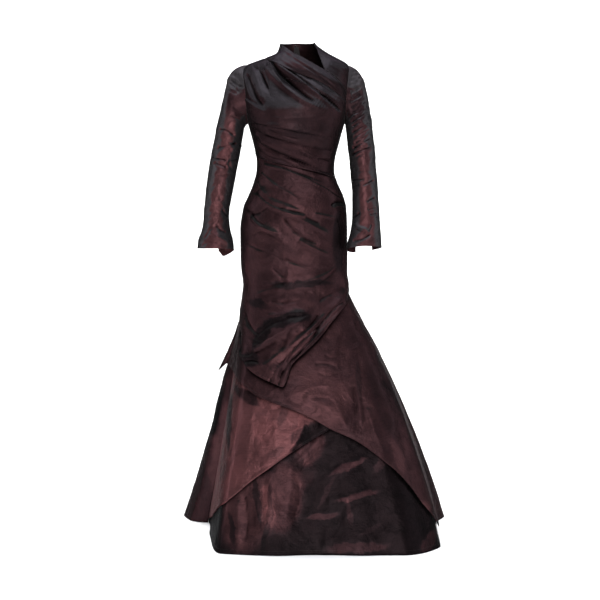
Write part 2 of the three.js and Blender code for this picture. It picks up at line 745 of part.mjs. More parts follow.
function zipTape() {
  const rows = 18;
  const columns = 2;
  const waist = figure.find((row) => row.height === 1165);
  const halfAngle = THREE.MathUtils.radToDeg(zip.width / 2 / waist.back);
  const lay = (i, j) => [
    180 + lerp(-halfAngle, halfAngle, i / columns),
    lerp(zip.bottom, zip.top, j / rows),
  ];
  return formPanel(columns, rows, lay, () => -clothWall - zip.behind, zip.wall);
}

// Frame on the outside of the centre back at the slider: -Z runs down the cloth's slope, Y outward
function sliderFrame() {
  const frame = new THREE.Group();
  const top = formPoint(180, slider.height);
  const slope = formPoint(180, slider.height - pullTab.length).sub(top);
  frame.position.copy(top);
  frame.rotation.x = Math.atan2(slope.y, -slope.z);
  return frame;
}

function extruded(wasm, shape, depth) {
  const options = { depth, bevelEnabled: false, curveSegments: 12 };
  const geometry = new THREE.ExtrudeGeometry(shape, options);
  geometry.translate(0, 0, -depth / 2);
  return toManifold(wasm, geometry);
}

function toManifold(wasm, geometry) {
  const position = geometry.attributes.position;
  const seen = new Map();
  const points = [];
  const index = [];
  const order = geometry.index ? geometry.index.array : [...Array(position.count).keys()];
  for (const k of order) {
    const corner = [position.getX(k), position.getY(k), position.getZ(k)];
    const key = corner.map((value) => Math.round(value * 1e4)).join(' ');
    if (!seen.has(key)) {
      seen.set(key, seen.size);
      points.push(...corner);
    }
    index.push(seen.get(key));
  }
  const mesh = new wasm.Mesh({
    numProp: 3,
    vertProperties: new Float32Array(points),
    triVerts: new Uint32Array(index),
  });
  return new wasm.Manifold(mesh);
}

function fromManifold(solid) {
  const mesh = solid.getMesh();
  const geometry = new THREE.BufferGeometry();
  geometry.setAttribute('position', new THREE.Float32BufferAttribute(mesh.vertProperties, 3));
  geometry.setIndex([...mesh.triVerts]);
  geometry.computeVertexNormals();
  return geometry;
}

// Slider block with two lugs and a cross pin, in the slider frame
function sliderGeometry(wasm) {
  const block = new THREE.BoxGeometry(slider.width, slider.depth, slider.length);
  const face = slider.seat + slider.depth;
  block.translate(0, face - slider.depth / 2, slider.below);
  let solid = toManifold(wasm, block);
  const lugInside = eyeWidth / 2 + sliderLug.clear;
  const lugHeight = slider.pivotOut - slider.seat;
  for (const side of [-1, 1]) {
    const lug = new THREE.BoxGeometry(sliderLug.width, lugHeight, sliderLug.length);
    const lugMiddle = face + lugHeight / 2 - sliderLug.sunk;
    lug.translate(side * (lugInside + sliderLug.width / 2), lugMiddle, 0);
    solid = solid.add(toManifold(wasm, lug));
  }
  const pinLength = 2 * (lugInside + sliderLug.sunk);
  const pin = new THREE.CylinderGeometry(pinRadius, pinRadius, pinLength, 16);
  pin.rotateZ(Math.PI / 2);
  pin.translate(0, slider.pivotOut, 0);
  return fromManifold(solid.add(toManifold(wasm, pin)));
}

// Pull tab hanging from the pin: an eye between the lugs and a rounded blade below them
function pullGeometry(wasm) {
  const { eye, rim, width, length, wall } = pullTab;
  const outline = new THREE.Shape();
  outline.absarc(0, 0, eye + rim, 0, 2 * Math.PI, false);
  const hole = new THREE.Shape();
  hole.absarc(0, 0, eye, 0, 2 * Math.PI, false);
  const ring = fromManifold(
    extruded(wasm, outline, eyeWidth).subtract(extruded(wasm, hole, eyeWidth)),
  );
  ring.rotateY(Math.PI / 2);
  const half = width / 2;
  const neck = eye + rim / 2;
  const blade = new THREE.Shape();
  blade.moveTo(-eyeWidth / 2, -neck);
  blade.lineTo(-half, -pullTab.shoulder);
  blade.lineTo(-half, half - length);
  blade.absarc(0, half - length, half, Math.PI, 2 * Math.PI, false);
  blade.lineTo(half, -pullTab.shoulder);
  blade.lineTo(eyeWidth / 2, -neck);
  const plate = fromManifold(extruded(wasm, blade, wall));
  plate.rotateX(Math.PI / 2);
  const geometry = fromManifold(toManifold(wasm, plate).add(toManifold(wasm, ring)));
  geometry.translate(0, slider.pivotOut, 0);
  return geometry;
}

const wasm = await Module();
wasm.setup();

const taffeta = new THREE.MeshStandardMaterial({ color: '#4a2a30', roughness: 0.45, metalness: 0.1 });
const zinc = new THREE.MeshStandardMaterial({ color: '#2a2426', roughness: 0.4, metalness: 0.8 });

function piece(name, geometry, material = taffeta) {
  const mesh = new THREE.Mesh(geometry, material);
  mesh.name = name;
  return mesh;
}

const gown = new THREE.Group();
gown.position.z = -shoulderHeight;
gown.add(
  piece('bodice_front', bodiceFront()),
  piece('neck_band', neckBand()),
  piece('yoke_left', yokeLeft()),
  piece('torso_back_left', torsoBack(1)),
  piece('torso_back_right', torsoBack(-1)),
  piece('sleeve_left', sleeveGeometry(leftSleeve)),
  piece('sleeve_right', sleeveGeometry(rightSleeve)),
  piece('hip_drape', hipDrape()),
  piece('overskirt', overskirt()),
  piece('wrap_panel', wrapPanel()),
  piece('underskirt_front', underskirtFront()),
  piece('skirt_back', skirtBack()),
  piece('zip_tape', zipTape()),
);
const zipHead = sliderFrame();
zipHead.add(
  piece('zip_slider', sliderGeometry(wasm), zinc),
  piece('zip_pull', pullGeometry(wasm), zinc),
);
gown.add(zipHead);

export default gown;
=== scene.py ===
# Evening gown in burgundy and black shot taffeta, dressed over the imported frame.
# Tables are in millimetres with heights from the floor; angles run round the body in degrees,
# 0 at the front (-Y), 90 at the wearer's left (+X). Meshes are made in metres.
import json
import math

import bpy
import numpy as np
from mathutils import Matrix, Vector

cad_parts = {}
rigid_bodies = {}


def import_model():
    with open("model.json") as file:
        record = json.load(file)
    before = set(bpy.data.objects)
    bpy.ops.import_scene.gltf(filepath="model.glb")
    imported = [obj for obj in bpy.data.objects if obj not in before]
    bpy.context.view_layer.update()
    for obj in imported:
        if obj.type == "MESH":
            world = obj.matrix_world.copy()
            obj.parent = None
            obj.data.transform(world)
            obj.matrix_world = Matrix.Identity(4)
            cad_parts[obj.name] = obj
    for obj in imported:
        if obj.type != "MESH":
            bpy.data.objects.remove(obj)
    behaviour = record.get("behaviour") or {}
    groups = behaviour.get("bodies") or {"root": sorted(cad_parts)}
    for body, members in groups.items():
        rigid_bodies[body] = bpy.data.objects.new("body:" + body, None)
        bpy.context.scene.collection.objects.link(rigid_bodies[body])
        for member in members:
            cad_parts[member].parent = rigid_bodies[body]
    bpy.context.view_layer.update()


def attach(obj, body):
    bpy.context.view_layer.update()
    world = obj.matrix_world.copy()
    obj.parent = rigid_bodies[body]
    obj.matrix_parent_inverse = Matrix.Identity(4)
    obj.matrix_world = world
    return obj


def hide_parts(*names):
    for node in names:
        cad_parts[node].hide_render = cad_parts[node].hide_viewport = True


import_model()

gown = {
    "shoulderHeight": 1500,
    "underarmHeight": 1313,
    "flareHeight": 800,
    "collarHeight": 1576,
    "collarDip": 8,
    "waistRight": 1217,
    "waistLeft": 1124,
    "clothWall": 0.8,
    "armholeForward": 24,
    "armholeBackward": 22,
    "armholeStep": 18,  # degrees of the armhole to a knot of a panel's edge
    "layerPitch": 2.4,
    "reliefReach": 8,
    "tiltReach": 30,
    "insideShade": 1.1,
}


# small maths helpers
def table(columns, *lines):
    names = columns.split()
    grid = np.array(lines, float)
    return {"key": names[0], **{name: grid[:, i] for i, name in enumerate(names)}}


def lerp(a, b, t):
    return a + (b - a) * t


def smooth(value, low, high):
    t = np.clip((value - low) / (high - low), 0, 1)
    return t * t * (3 - 2 * t)


def through(rows, at, column):
    # smooth curve through a table's rows that never overshoots them
    x, y = rows[rows["key"]], rows[column]
    at = np.clip(at, x[0], x[-1])
    i = np.clip(np.searchsorted(x, at, side="right") - 1, 0, len(x) - 2)
    secant = np.diff(y) / np.diff(x)
    slope = np.empty(len(x))
    slope[0], slope[-1] = secant[0], secant[-1]
    a, b = secant[:-1], secant[1:]
    slope[1:-1] = np.where(a * b <= 0, 0, 2 * a * b / np.where(a + b == 0, 1, a + b))
    step = np.diff(x)[i]
    t = (at - x[i]) / step
    return (
        y[i] * (1 + 2 * t) * (1 - t) ** 2
        + y[i + 1] * t * t * (3 - 2 * t)
        + slope[i] * step * t * (1 - t) ** 2
        - slope[i + 1] * step * t * t * (1 - t)
    )


def cloud(points, size, seed):
    # soft noise from -1 to 1 over space, with lumps of the given size
    q = points / size
    cell = np.floor(q).astype(np.int64)
    f = q - cell
    f = f * f * (3 - 2 * f)
    total = 0
    for dx in (0, 1):
        for dy in (0, 1):
            for dz in (0, 1):
                h = (cell[..., 0] + dx) * 73856093 ^ (cell[..., 1] + dy) * 19349663
                h = (h ^ (cell[..., 2] + dz) * 83492791 ^ seed * 2654435761) & 0x7FFFFFFF
                h = (h * 1103515245 + 12345) & 0x7FFFFFFF
                value = ((h >> 8) & 0xFFFF) / 32767.5 - 1
                share = np.where(dx, f[..., 0], 1 - f[..., 0])
                share = share * np.where(dy, f[..., 1], 1 - f[..., 1])
                share = share * np.where(dz, f[..., 2], 1 - f[..., 2])
                total = total + value * share
    return total


# the form that the cloth follows
figure = table(
    "height right left front back",
    (800, 166, 163, 107, 106),
    (845, 173, 163, 108, 112),
    (893, 177, 164, 110, 120),
    (970, 178, 164, 112, 127),
    (1047, 168, 160, 110, 118),
    (1085, 152, 150, 106, 106),
    (1124, 136, 133, 101, 92),
    (1165, 126, 122, 97, 83),
    (1190, 125, 123, 99, 82),
    (1258, 138, 139, 114, 93),
    (1313, 153, 154, 131, 103),
    (1345, 162, 162, 134, 107),
    (1400, 171, 171, 118, 110),
    (1450, 174, 174, 94, 105),
    (1480, 171, 173, 81, 95),
    (1492, 164, 170, 76, 91),
    (1500, 153, 165, 72, 88),
    (1507, 135, 157, 69, 85),
    (1520, 99, 133, 64, 78),
    (1532, 66, 110, 61, 72),
    (1545, 57, 88, 57, 67),
    (1558, 53, 69, 55, 63),
    (1576, 49, 55, 53, 61),
)
floorOutline = table(
    "angle x y bow",
    (-210, 270, 580, -0.35),
    (-180, 70, 615, -0.45),
    (-150, -190, 575, -0.4),
    (-130, -340, 440, -0.25),
    (-116, -388, 318, -0.16),
    (-105, -356, 195, -0.13),
    (-97, -324, 172, -0.1),
    (-90, -304, 165, -0.06),
    (-75, -290, -20, 0.04),
    (-60, -268, -195, 0.05),
    (-45, -226, -315, 0.03),
    (-20, -66, -342, 0),
    (0, 60, -336, 0),
    (20, 180, -339, 0),
    (45, 320, -338, 0.12),
    (58, 410, -280, 0.28),
    (70, 460, -190, 0.4),
    (82, 466, -10, 0.46),
    (92, 474, 165, 0.42),
    (104, 508, 285, 0.32),
    (125, 436, 458, 0),
    (150, 270, 580, -0.35),
    (180, 70, 615, -0.45),
    (210, -190, 575, -0.4),
)
flutes = table(
    "angle depth wide",
    (-165, 30, 11),
    (-140, 26, 9),
    (-52, 9, 8),
    (-18, 7, 9),
    (24, 8, 9),
    (52, 9, 9),
    (118, 18, 8),
    (141, 28, 9),
    (168, 32, 11),
)
form = {"fullness": 0.04, "flareEase": 0.025, "fluteGrowth": 1.6, "levelBelow": (780, 900)}


def wrapAngle(angle):
    return (angle + 180) % 360 - 180


def figurePoint(angle, height):
    a = np.radians(angle)
    full = 1 + form["fullness"] * np.sin(2 * a) ** 2
    half = np.where(np.sin(a) < 0, through(figure, height, "right"), through(figure, height, "left"))
    deep = np.where(np.cos(a) > 0, through(figure, height, "front"), through(figure, height, "back"))
    return np.stack([half * np.sin(a) * full, -deep * np.cos(a) * full, height + 0 * a], -1)


def formPoint(angle, height):
    angle, height = np.broadcast_arrays(np.asarray(angle, float), np.asarray(height, float))
    point = figurePoint(angle, np.maximum(height, gown["flareHeight"]))
    at = wrapAngle(angle)
    ease = form["flareEase"]
    raw = np.maximum(gown["flareHeight"] - height, 0) / gown["flareHeight"]
    eased = (np.hypot(raw, ease) - ease) / (math.hypot(1, ease) - ease)
    bow = through(floorOutline, at, "bow")
    share = eased * (1 + bow * (1 - np.minimum(eased, 1)))
    x = lerp(point[..., 0], through(floorOutline, at, "x"), share)
    y = lerp(point[..., 1], through(floorOutline, at, "y"), share)
    depth = sum(
        deep * np.exp(-((wrapAngle(at - middle) / wide) ** 2))
        for middle, deep, wide in zip(flutes["angle"], flutes["depth"], flutes["wide"])
    )
    out = 1 + depth * share ** form["fluteGrowth"] / np.hypot(x, y)
    return np.stack([x * out, y * out, height], -1)


def formNormal(angle, height):
    high = np.minimum(height + 2, gown["collarHeight"])
    around = formPoint(angle + 0.5, height) - formPoint(angle - 0.5, height)
    up = formPoint(angle, high) - formPoint(angle, high - 4)
    normal = np.cross(around, up)
    normal /= np.linalg.norm(normal, axis=-1, keepdims=True)
    normal[..., 2] *= smooth(height, *form["levelBelow"])
    return normal / np.linalg.norm(normal, axis=-1, keepdims=True)


def onForm(angle, height):
    return formPoint(angle, height), formNormal(angle, height)


# folds and creases
foldLook = {
    "nose": 1.2,
    "waver": 1.8,
    "waverSize": 40,
    "uneven": 0.3,
    "fadeIn": 0.12,
    "fadeOut": 0.8,
    "steps": 41,
}


def foldField(x, z, rows, crisp=False):
    # Each row is a fold along a bent line. Its rise is outward, and above and below are its
    # widths on the two sides of the line: a narrow side makes a crisp edge.
    total = np.zeros(np.broadcast(x, z).shape)
    place = np.stack([x, 0 * x, z + 0 * x], -1)
    waver = foldLook["waver"] if crisp else 0
    x = x + waver * cloud(place, foldLook["waverSize"], 201)
    z = z + waver * cloud(place, foldLook["waverSize"], 202)
    strength = 1 + (foldLook["uneven"] * cloud(place, foldLook["waverSize"], 203) if crisp else 0)
    for x0, z0, x1, z1, x2, z2, rise, above, below in rows:
        mx, mz = 2 * x1 - (x0 + x2) / 2, 2 * z1 - (z0 + z2) / 2
        reach = 4 * max(above, below)
        near = (
            (x > min(x0, x1, x2, mx) - reach)
            & (x < max(x0, x1, x2, mx) + reach)
            & (z > min(z0, z1, z2, mz) - reach)
            & (z < max(z0, z1, z2, mz) + reach)
        )
        if not near.any():
            continue
        px, pz = x[near], z[near]
        best = np.full(px.shape, 1e9)
        bestT = np.zeros(px.shape)
        side = np.zeros(px.shape)
        for t in np.linspace(0, 1, foldLook["steps"]):
            cx = (1 - t) ** 2 * x0 + 2 * t * (1 - t) * mx + t * t * x2
            cz = (1 - t) ** 2 * z0 + 2 * t * (1 - t) * mz + t * t * z2
            dx = (1 - t) * (mx - x0) + t * (x2 - mx)
            dz = (1 - t) * (mz - z0) + t * (z2 - mz)
            long = math.hypot(dx, dz)
            away = np.hypot(px - cx, pz - cz)
            closer = away < best
            best[closer] = away[closer]
            bestT[closer] = t
            side[closer] = (((pz - cz) * dx - (px - cx) * dz) / long)[closer]
        wide = np.where(side > 0, above, below)
        ends = smooth(bestT, 0, foldLook["fadeIn"]) * (1 - smooth(bestT, foldLook["fadeOut"], 1))
        if crisp:
            nose = foldLook["nose"]
            shape = np.exp(-(np.hypot(best, nose) - nose) / wide)
        else:
            shape = np.exp(-((best / wide) ** 2))
        total[near] += rise * ends * shape
    return total * strength


def foldsAt(point, rows, crisp=False):
    return foldField(point[..., 0], point[..., 2], rows, crisp)


def crumple(points, look):
    # crisp taffeta crumple: ridges of several sizes, stretched along the cloth's pull
    run = math.radians(look.get("slant", 0))
    stretch = look.get("stretch", 1.6)
    x, y, z = points[..., 0], points[..., 1], points[..., 2]
    along = (x * math.cos(run) + z * math.sin(run)) / stretch
    across = -x * math.sin(run) + z * math.cos(run)
    q = np.stack([along, y / stretch, across], -1)
    q = q + 9 * np.stack([cloud(q, 46, 3), cloud(q, 46, 5), cloud(q, 46, 7)], -1)
    total = 0
    for k, (size, rise) in enumerate(look["waves"]):
        ridge = 1 - 2.2 * np.abs(cloud(q, size, look["seed"] + 11 * k))
        total = total + rise * ridge
    patch = 0.5 + 0.5 * smooth(cloud(q, 120, look["seed"] + 90), -0.35, 0.45)
    return total * patch


# making meshes
def toFrame(points):
    return (points - np.array([0, 0, gown["shoulderHeight"]])) / 1000


def gridNormals(points, hint):
    dj, di = np.gradient(points, axis=(0, 1))
    normal = np.cross(di, dj)
    normal /= np.maximum(np.linalg.norm(normal, axis=-1, keepdims=True), 1e-9)
    return normal * np.where((normal * hint).sum(-1, keepdims=True) < 0, -1, 1)


def runLengths(points):
    # lengths along the cloth from the left edge and from the bottom edge
    stepI = np.linalg.norm(np.diff(points, axis=1), axis=-1)
    stepJ = np.linalg.norm(np.diff(points, axis=0), axis=-1)
    u = np.concatenate([np.zeros((points.shape[0], 1)), np.cumsum(stepI, 1)], 1)
    v = np.concatenate([np.zeros((1, points.shape[1])), np.cumsum(stepJ, 0)], 0)
    return u, v


def newObject(name, points, faces, material, uv=None):
    mesh = bpy.data.meshes.new(name)
    mesh.from_pydata(points, [], faces)
    if uv is not None:
        layer = mesh.uv_layers.new(name="cloth")
        corners = np.empty(len(mesh.loops), np.int32)
        mesh.loops.foreach_get("vertex_index", corners)
        layer.data.foreach_set("uv", uv[corners].astype(np.float32).ravel())
    mesh.materials.append(material)
    mesh.polygons.foreach_set("use_smooth", np.ones(len(mesh.polygons), bool))
    mesh.update()
    piece = bpy.data.objects.new(name, mesh)
    bpy.context.scene.collection.objects.link(piece)
    return piece


def shellFaces(rows, columns):
    # outer and inner faces of a grid, and the rim that closes them
    a = (np.arange(rows)[:, None] * (columns + 1) + np.arange(columns)).ravel()
    layer = (rows + 1) * (columns + 1)
    up = columns + 1
    outer = np.stack([a, a + 1, a + up + 1, a + up], 1)
    inner = np.stack([a, a + up, a + up + 1, a + 1], 1) + layer
    i = np.arange(columns)
    low = np.stack([i, i + layer, i + 1 + layer, i + 1], 1)
    top = rows * up + i
    high = np.stack([top, top + 1, top + 1 + layer, top + layer], 1)
    j = np.arange(rows) * up
    left = np.stack([j, j + up, j + up + layer, j + layer], 1)
    right = np.stack([j, j + layer, j + up + layer, j + up], 1) + columns
    return np.concatenate([outer, inner, low, high, left, right])


def blurred(grid, cells):
    # average over the grid, a number of cells wide along its rows and along its columns
    for axis, wide in enumerate(cells):
        reach = int(3 * wide) + 1
        padding = [(reach, reach) if k == axis else (0, 0) for k in range(grid.ndim)]
        padded = np.pad(grid, padding, "edge")
        offsets = np.arange(-reach, reach + 1)
        shares = np.exp(-((offsets / wide) ** 2) / 2)
        shares /= shares.sum()
        length = grid.shape[axis]
        grid = sum(w * np.take(padded, np.arange(length) + k, axis) for k, w in enumerate(shares))
    return grid


def evened(points, reach):
    stepJ = np.linalg.norm(np.diff(points, axis=0), axis=-1).mean()
    stepI = np.linalg.norm(np.diff(points, axis=1), axis=-1).mean()
    return blurred(points, (reach / stepJ, reach / stepI))


def hemShade(angle, height, hem, deep=3.4, reach=7):
    # the strip just under a loose hem, as a trough that gets little light
    below = through(hem, angle, "height") - height
    return deep * smooth(below, -6, 0) * np.exp(-np.maximum(below, 0) / reach)


def foldSigns(points, normal, greyWhere, shy, shade):
    # relief: how far the cloth stands out from its surroundings, below zero in a trough, less any painted
    # shade passed in
    # tilt: how much it turns away from the light that shows the weft; where it turns up or aside the
    # material paints a grey sheen, as the top light would catch the warp
    relief = ((points - evened(points, gown["reliefReach"])) * normal).sum(-1)
    tilt = normal[..., 2] - shy
    if greyWhere == "ridges":
        tilt = tilt - gridNormals(evened(points, gown["tiltReach"]), normal)[..., 2]
    if greyWhere == "sides":
        tilt = np.hypot(normal[..., 0], np.maximum(normal[..., 2], 0)) - shy
    return {"relief": relief - shade, "tilt": tilt}


edgeLook = {
    "grooveDepth": 0.9,
    "grooveWidth": 1.5,
    "puckerRise": 0.35,
    "puckerReach": 9,
    "puckerPitch": 11,
    "hemTurn": 9,
    "hemLine": 0.4,
    "hemLineWidth": 1.3,
}
hemAtTop = {"left": "seam", "right": "seam", "bottom": "seam", "top": "hem"}


def edgeRise(points, edges):
    # seams sink and pucker a little, hems show the ridge of the turned edge
    u, v = runLengths(points)
    away = {"left": u, "right": u[:, -1:] - u, "bottom": v, "top": v[-1:] - v}
    run = {"left": v, "right": v, "bottom": u, "top": u}
    rise = np.zeros(u.shape)
    keep = np.ones(u.shape)
    for name, kind in edges.items():
        d, along = away[name], run[name]
        if kind == "seam":
            rise -= edgeLook["grooveDepth"] * np.exp(-((d / edgeLook["grooveWidth"]) ** 2))
            wave = np.sin(2 * math.pi * along / edgeLook["puckerPitch"] + 1.7 * np.sin(along / 23))
            near = np.exp(-d / edgeLook["puckerReach"]) * smooth(d, 0.5, 4)
            rise += edgeLook["puckerRise"] * wave * near
            keep *= smooth(d, 0, 14)
        else:
            line = (d - edgeLook["hemTurn"]) / edgeLook["hemLineWidth"]
            rise -= edgeLook["hemLine"] * np.exp(-(line**2))
    return rise, keep


surfaces = {}
onCloth = {}


def clothPiece(node, look, point, out, rise, edges, greyWhere="ridges", shy=0, shade=0):
    # a shell of cloth in place of a CAD node, lifted off the form by its folds
    name = f"{node}_cloth"
    points = point + out * np.asarray(rise)[..., None]
    sink, keep = edgeRise(points, edges)
    lift = sink + keep * crumple(points, look["crumple"])
    points = points + out * lift[..., None]
    normal = gridNormals(points, out)
    inner = points - normal * gown["clothWall"]
    rows, columns = points.shape[0] - 1, points.shape[1] - 1
    u, v = runLengths(points)
    uv = np.stack([u - u[:, -1:] / 2, v], -1).reshape(-1, 2) / 1000
    allPoints = toFrame(np.concatenate([points.reshape(-1, 3), inner.reshape(-1, 3)]))
    faces = shellFaces(rows, columns)
    if (normal * np.cross(*reversed(np.gradient(points, axis=(0, 1))))).sum() < 0:
        faces = faces[:, ::-1]
    piece = newObject(name, allPoints, faces.tolist(), taffeta(node, look), np.concatenate([uv, uv]))
    for sign, value in foldSigns(points, normal, greyWhere, shy, shade).items():
        layer = piece.data.attributes.new(sign, "FLOAT", "POINT")
        inside = -value - (gown["insideShade"] if sign == "relief" else 0)
        both = np.concatenate([value.ravel(), inside.ravel()])
        layer.data.foreach_set("value", both.astype(np.float32))
    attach(piece, "gown")
    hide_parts(node)
    wide, long = u[:, -1].max() / 1000, v[-1].max() / 1000
    di, dj = np.diff(points, axis=1)[:-1], np.diff(points, axis=0)[:, :-1]
    area = np.linalg.norm(np.cross(di, dj), axis=-1).sum() / 1e6
    area = min(area, wide * long)
    surfaces[name] = points, normal
    print(f"{name}: {2 * len(faces)} triangles, cut {wide:.2f} x {long:.2f} m, {area:.3f} m2")
    return piece


# shot taffeta: black warp and burgundy weft
def newMaterial(name):
    # a material without nodes, and the two functions that add nodes to it and feed their sockets
    material = bpy.data.materials.new(name)
    material.use_nodes = True
    tree = material.node_tree
    tree.nodes.clear()

    def feed(socket, value):
        if isinstance(value, bpy.types.NodeSocket):
            tree.links.new(value, socket)
        else:
            socket.default_value = value

    def add(kind, *inOrder, **byName):
        # a name that isn't a socket's is a setting of the node
        node = tree.nodes.new(kind)
        for key, value in byName.items():
            if key in node.inputs:
                feed(node.inputs[key], value)
            else:
                setattr(node, key, value)
        for socket, value in zip(node.inputs, inOrder):
            feed(socket, value)
        return node

    return material, add, feed


taffetaLook = {
    # colours of the cloth from its black warp to its burgundy weft
    "tones": [
        (0.00, (0.0085, 0.0065, 0.0072)),
        (0.25, (0.016, 0.0105, 0.0118)),
        (0.50, (0.033, 0.0165, 0.0184)),
        (0.75, (0.066, 0.0302, 0.0322)),
        (1.00, (0.120, 0.0480, 0.0500)),
    ],
    # painted sheen: greys that stand in for the warp catching the top light, on the bodice, the sleeves and
    # the skirts
    "paintedSheenPale": (0.0345, 0.0305, 0.0340),
    "sleeveGrey": (0.0480, 0.0435, 0.0462),
    "paintedSheenDeep": (0.0155, 0.0140, 0.0140),
    "broadScale": 11.0,
    "broadRange": (0.3, 0.7),
    "patchiness": 0.22,
    "patchEdge": 0.4,
    "fray": 0.05,
    "bend": 0.11,
    "mottleScale": 46.0,
    "mottle": (0.8, 1.15),
    "facets": [(58, 0.038), (24, 0.036)],  # sizes in millimetres and how steep they are
    "greyUneven": 0.45,
    "greyEdge": (-0.05, 0.17),
    "troughShade": 0.10,
    "troughDepth": 3.2,
    "troughEnd": 0.2,
    "slubs": {"scale": (14, 620, 1), "share": 0.35, "range": (0.35, 0.65), "dark": (0.45, 0.42, 0.44)},
    "threads": {"warp": 560.0, "weft": 420.0, "weftWaver": 0.4, "strength": 0.25, "depth": 0.00008},
    "creases": {"size": 24, "strength": 0.5, "depth": 0.0006},
    "roughness": (0.33, 0.47),
    "metallic": (0.75, 0.25),  # seen square on, and at the outline
    "glossFades": (0.80, 0.99),
    "edgeTint": (0.055, 0.057, 0.060),
    "sheenTint": (0.80, 0.90, 0.90),
    "sheen": 0.02,
    "sheenRoughness": 0.4,
}


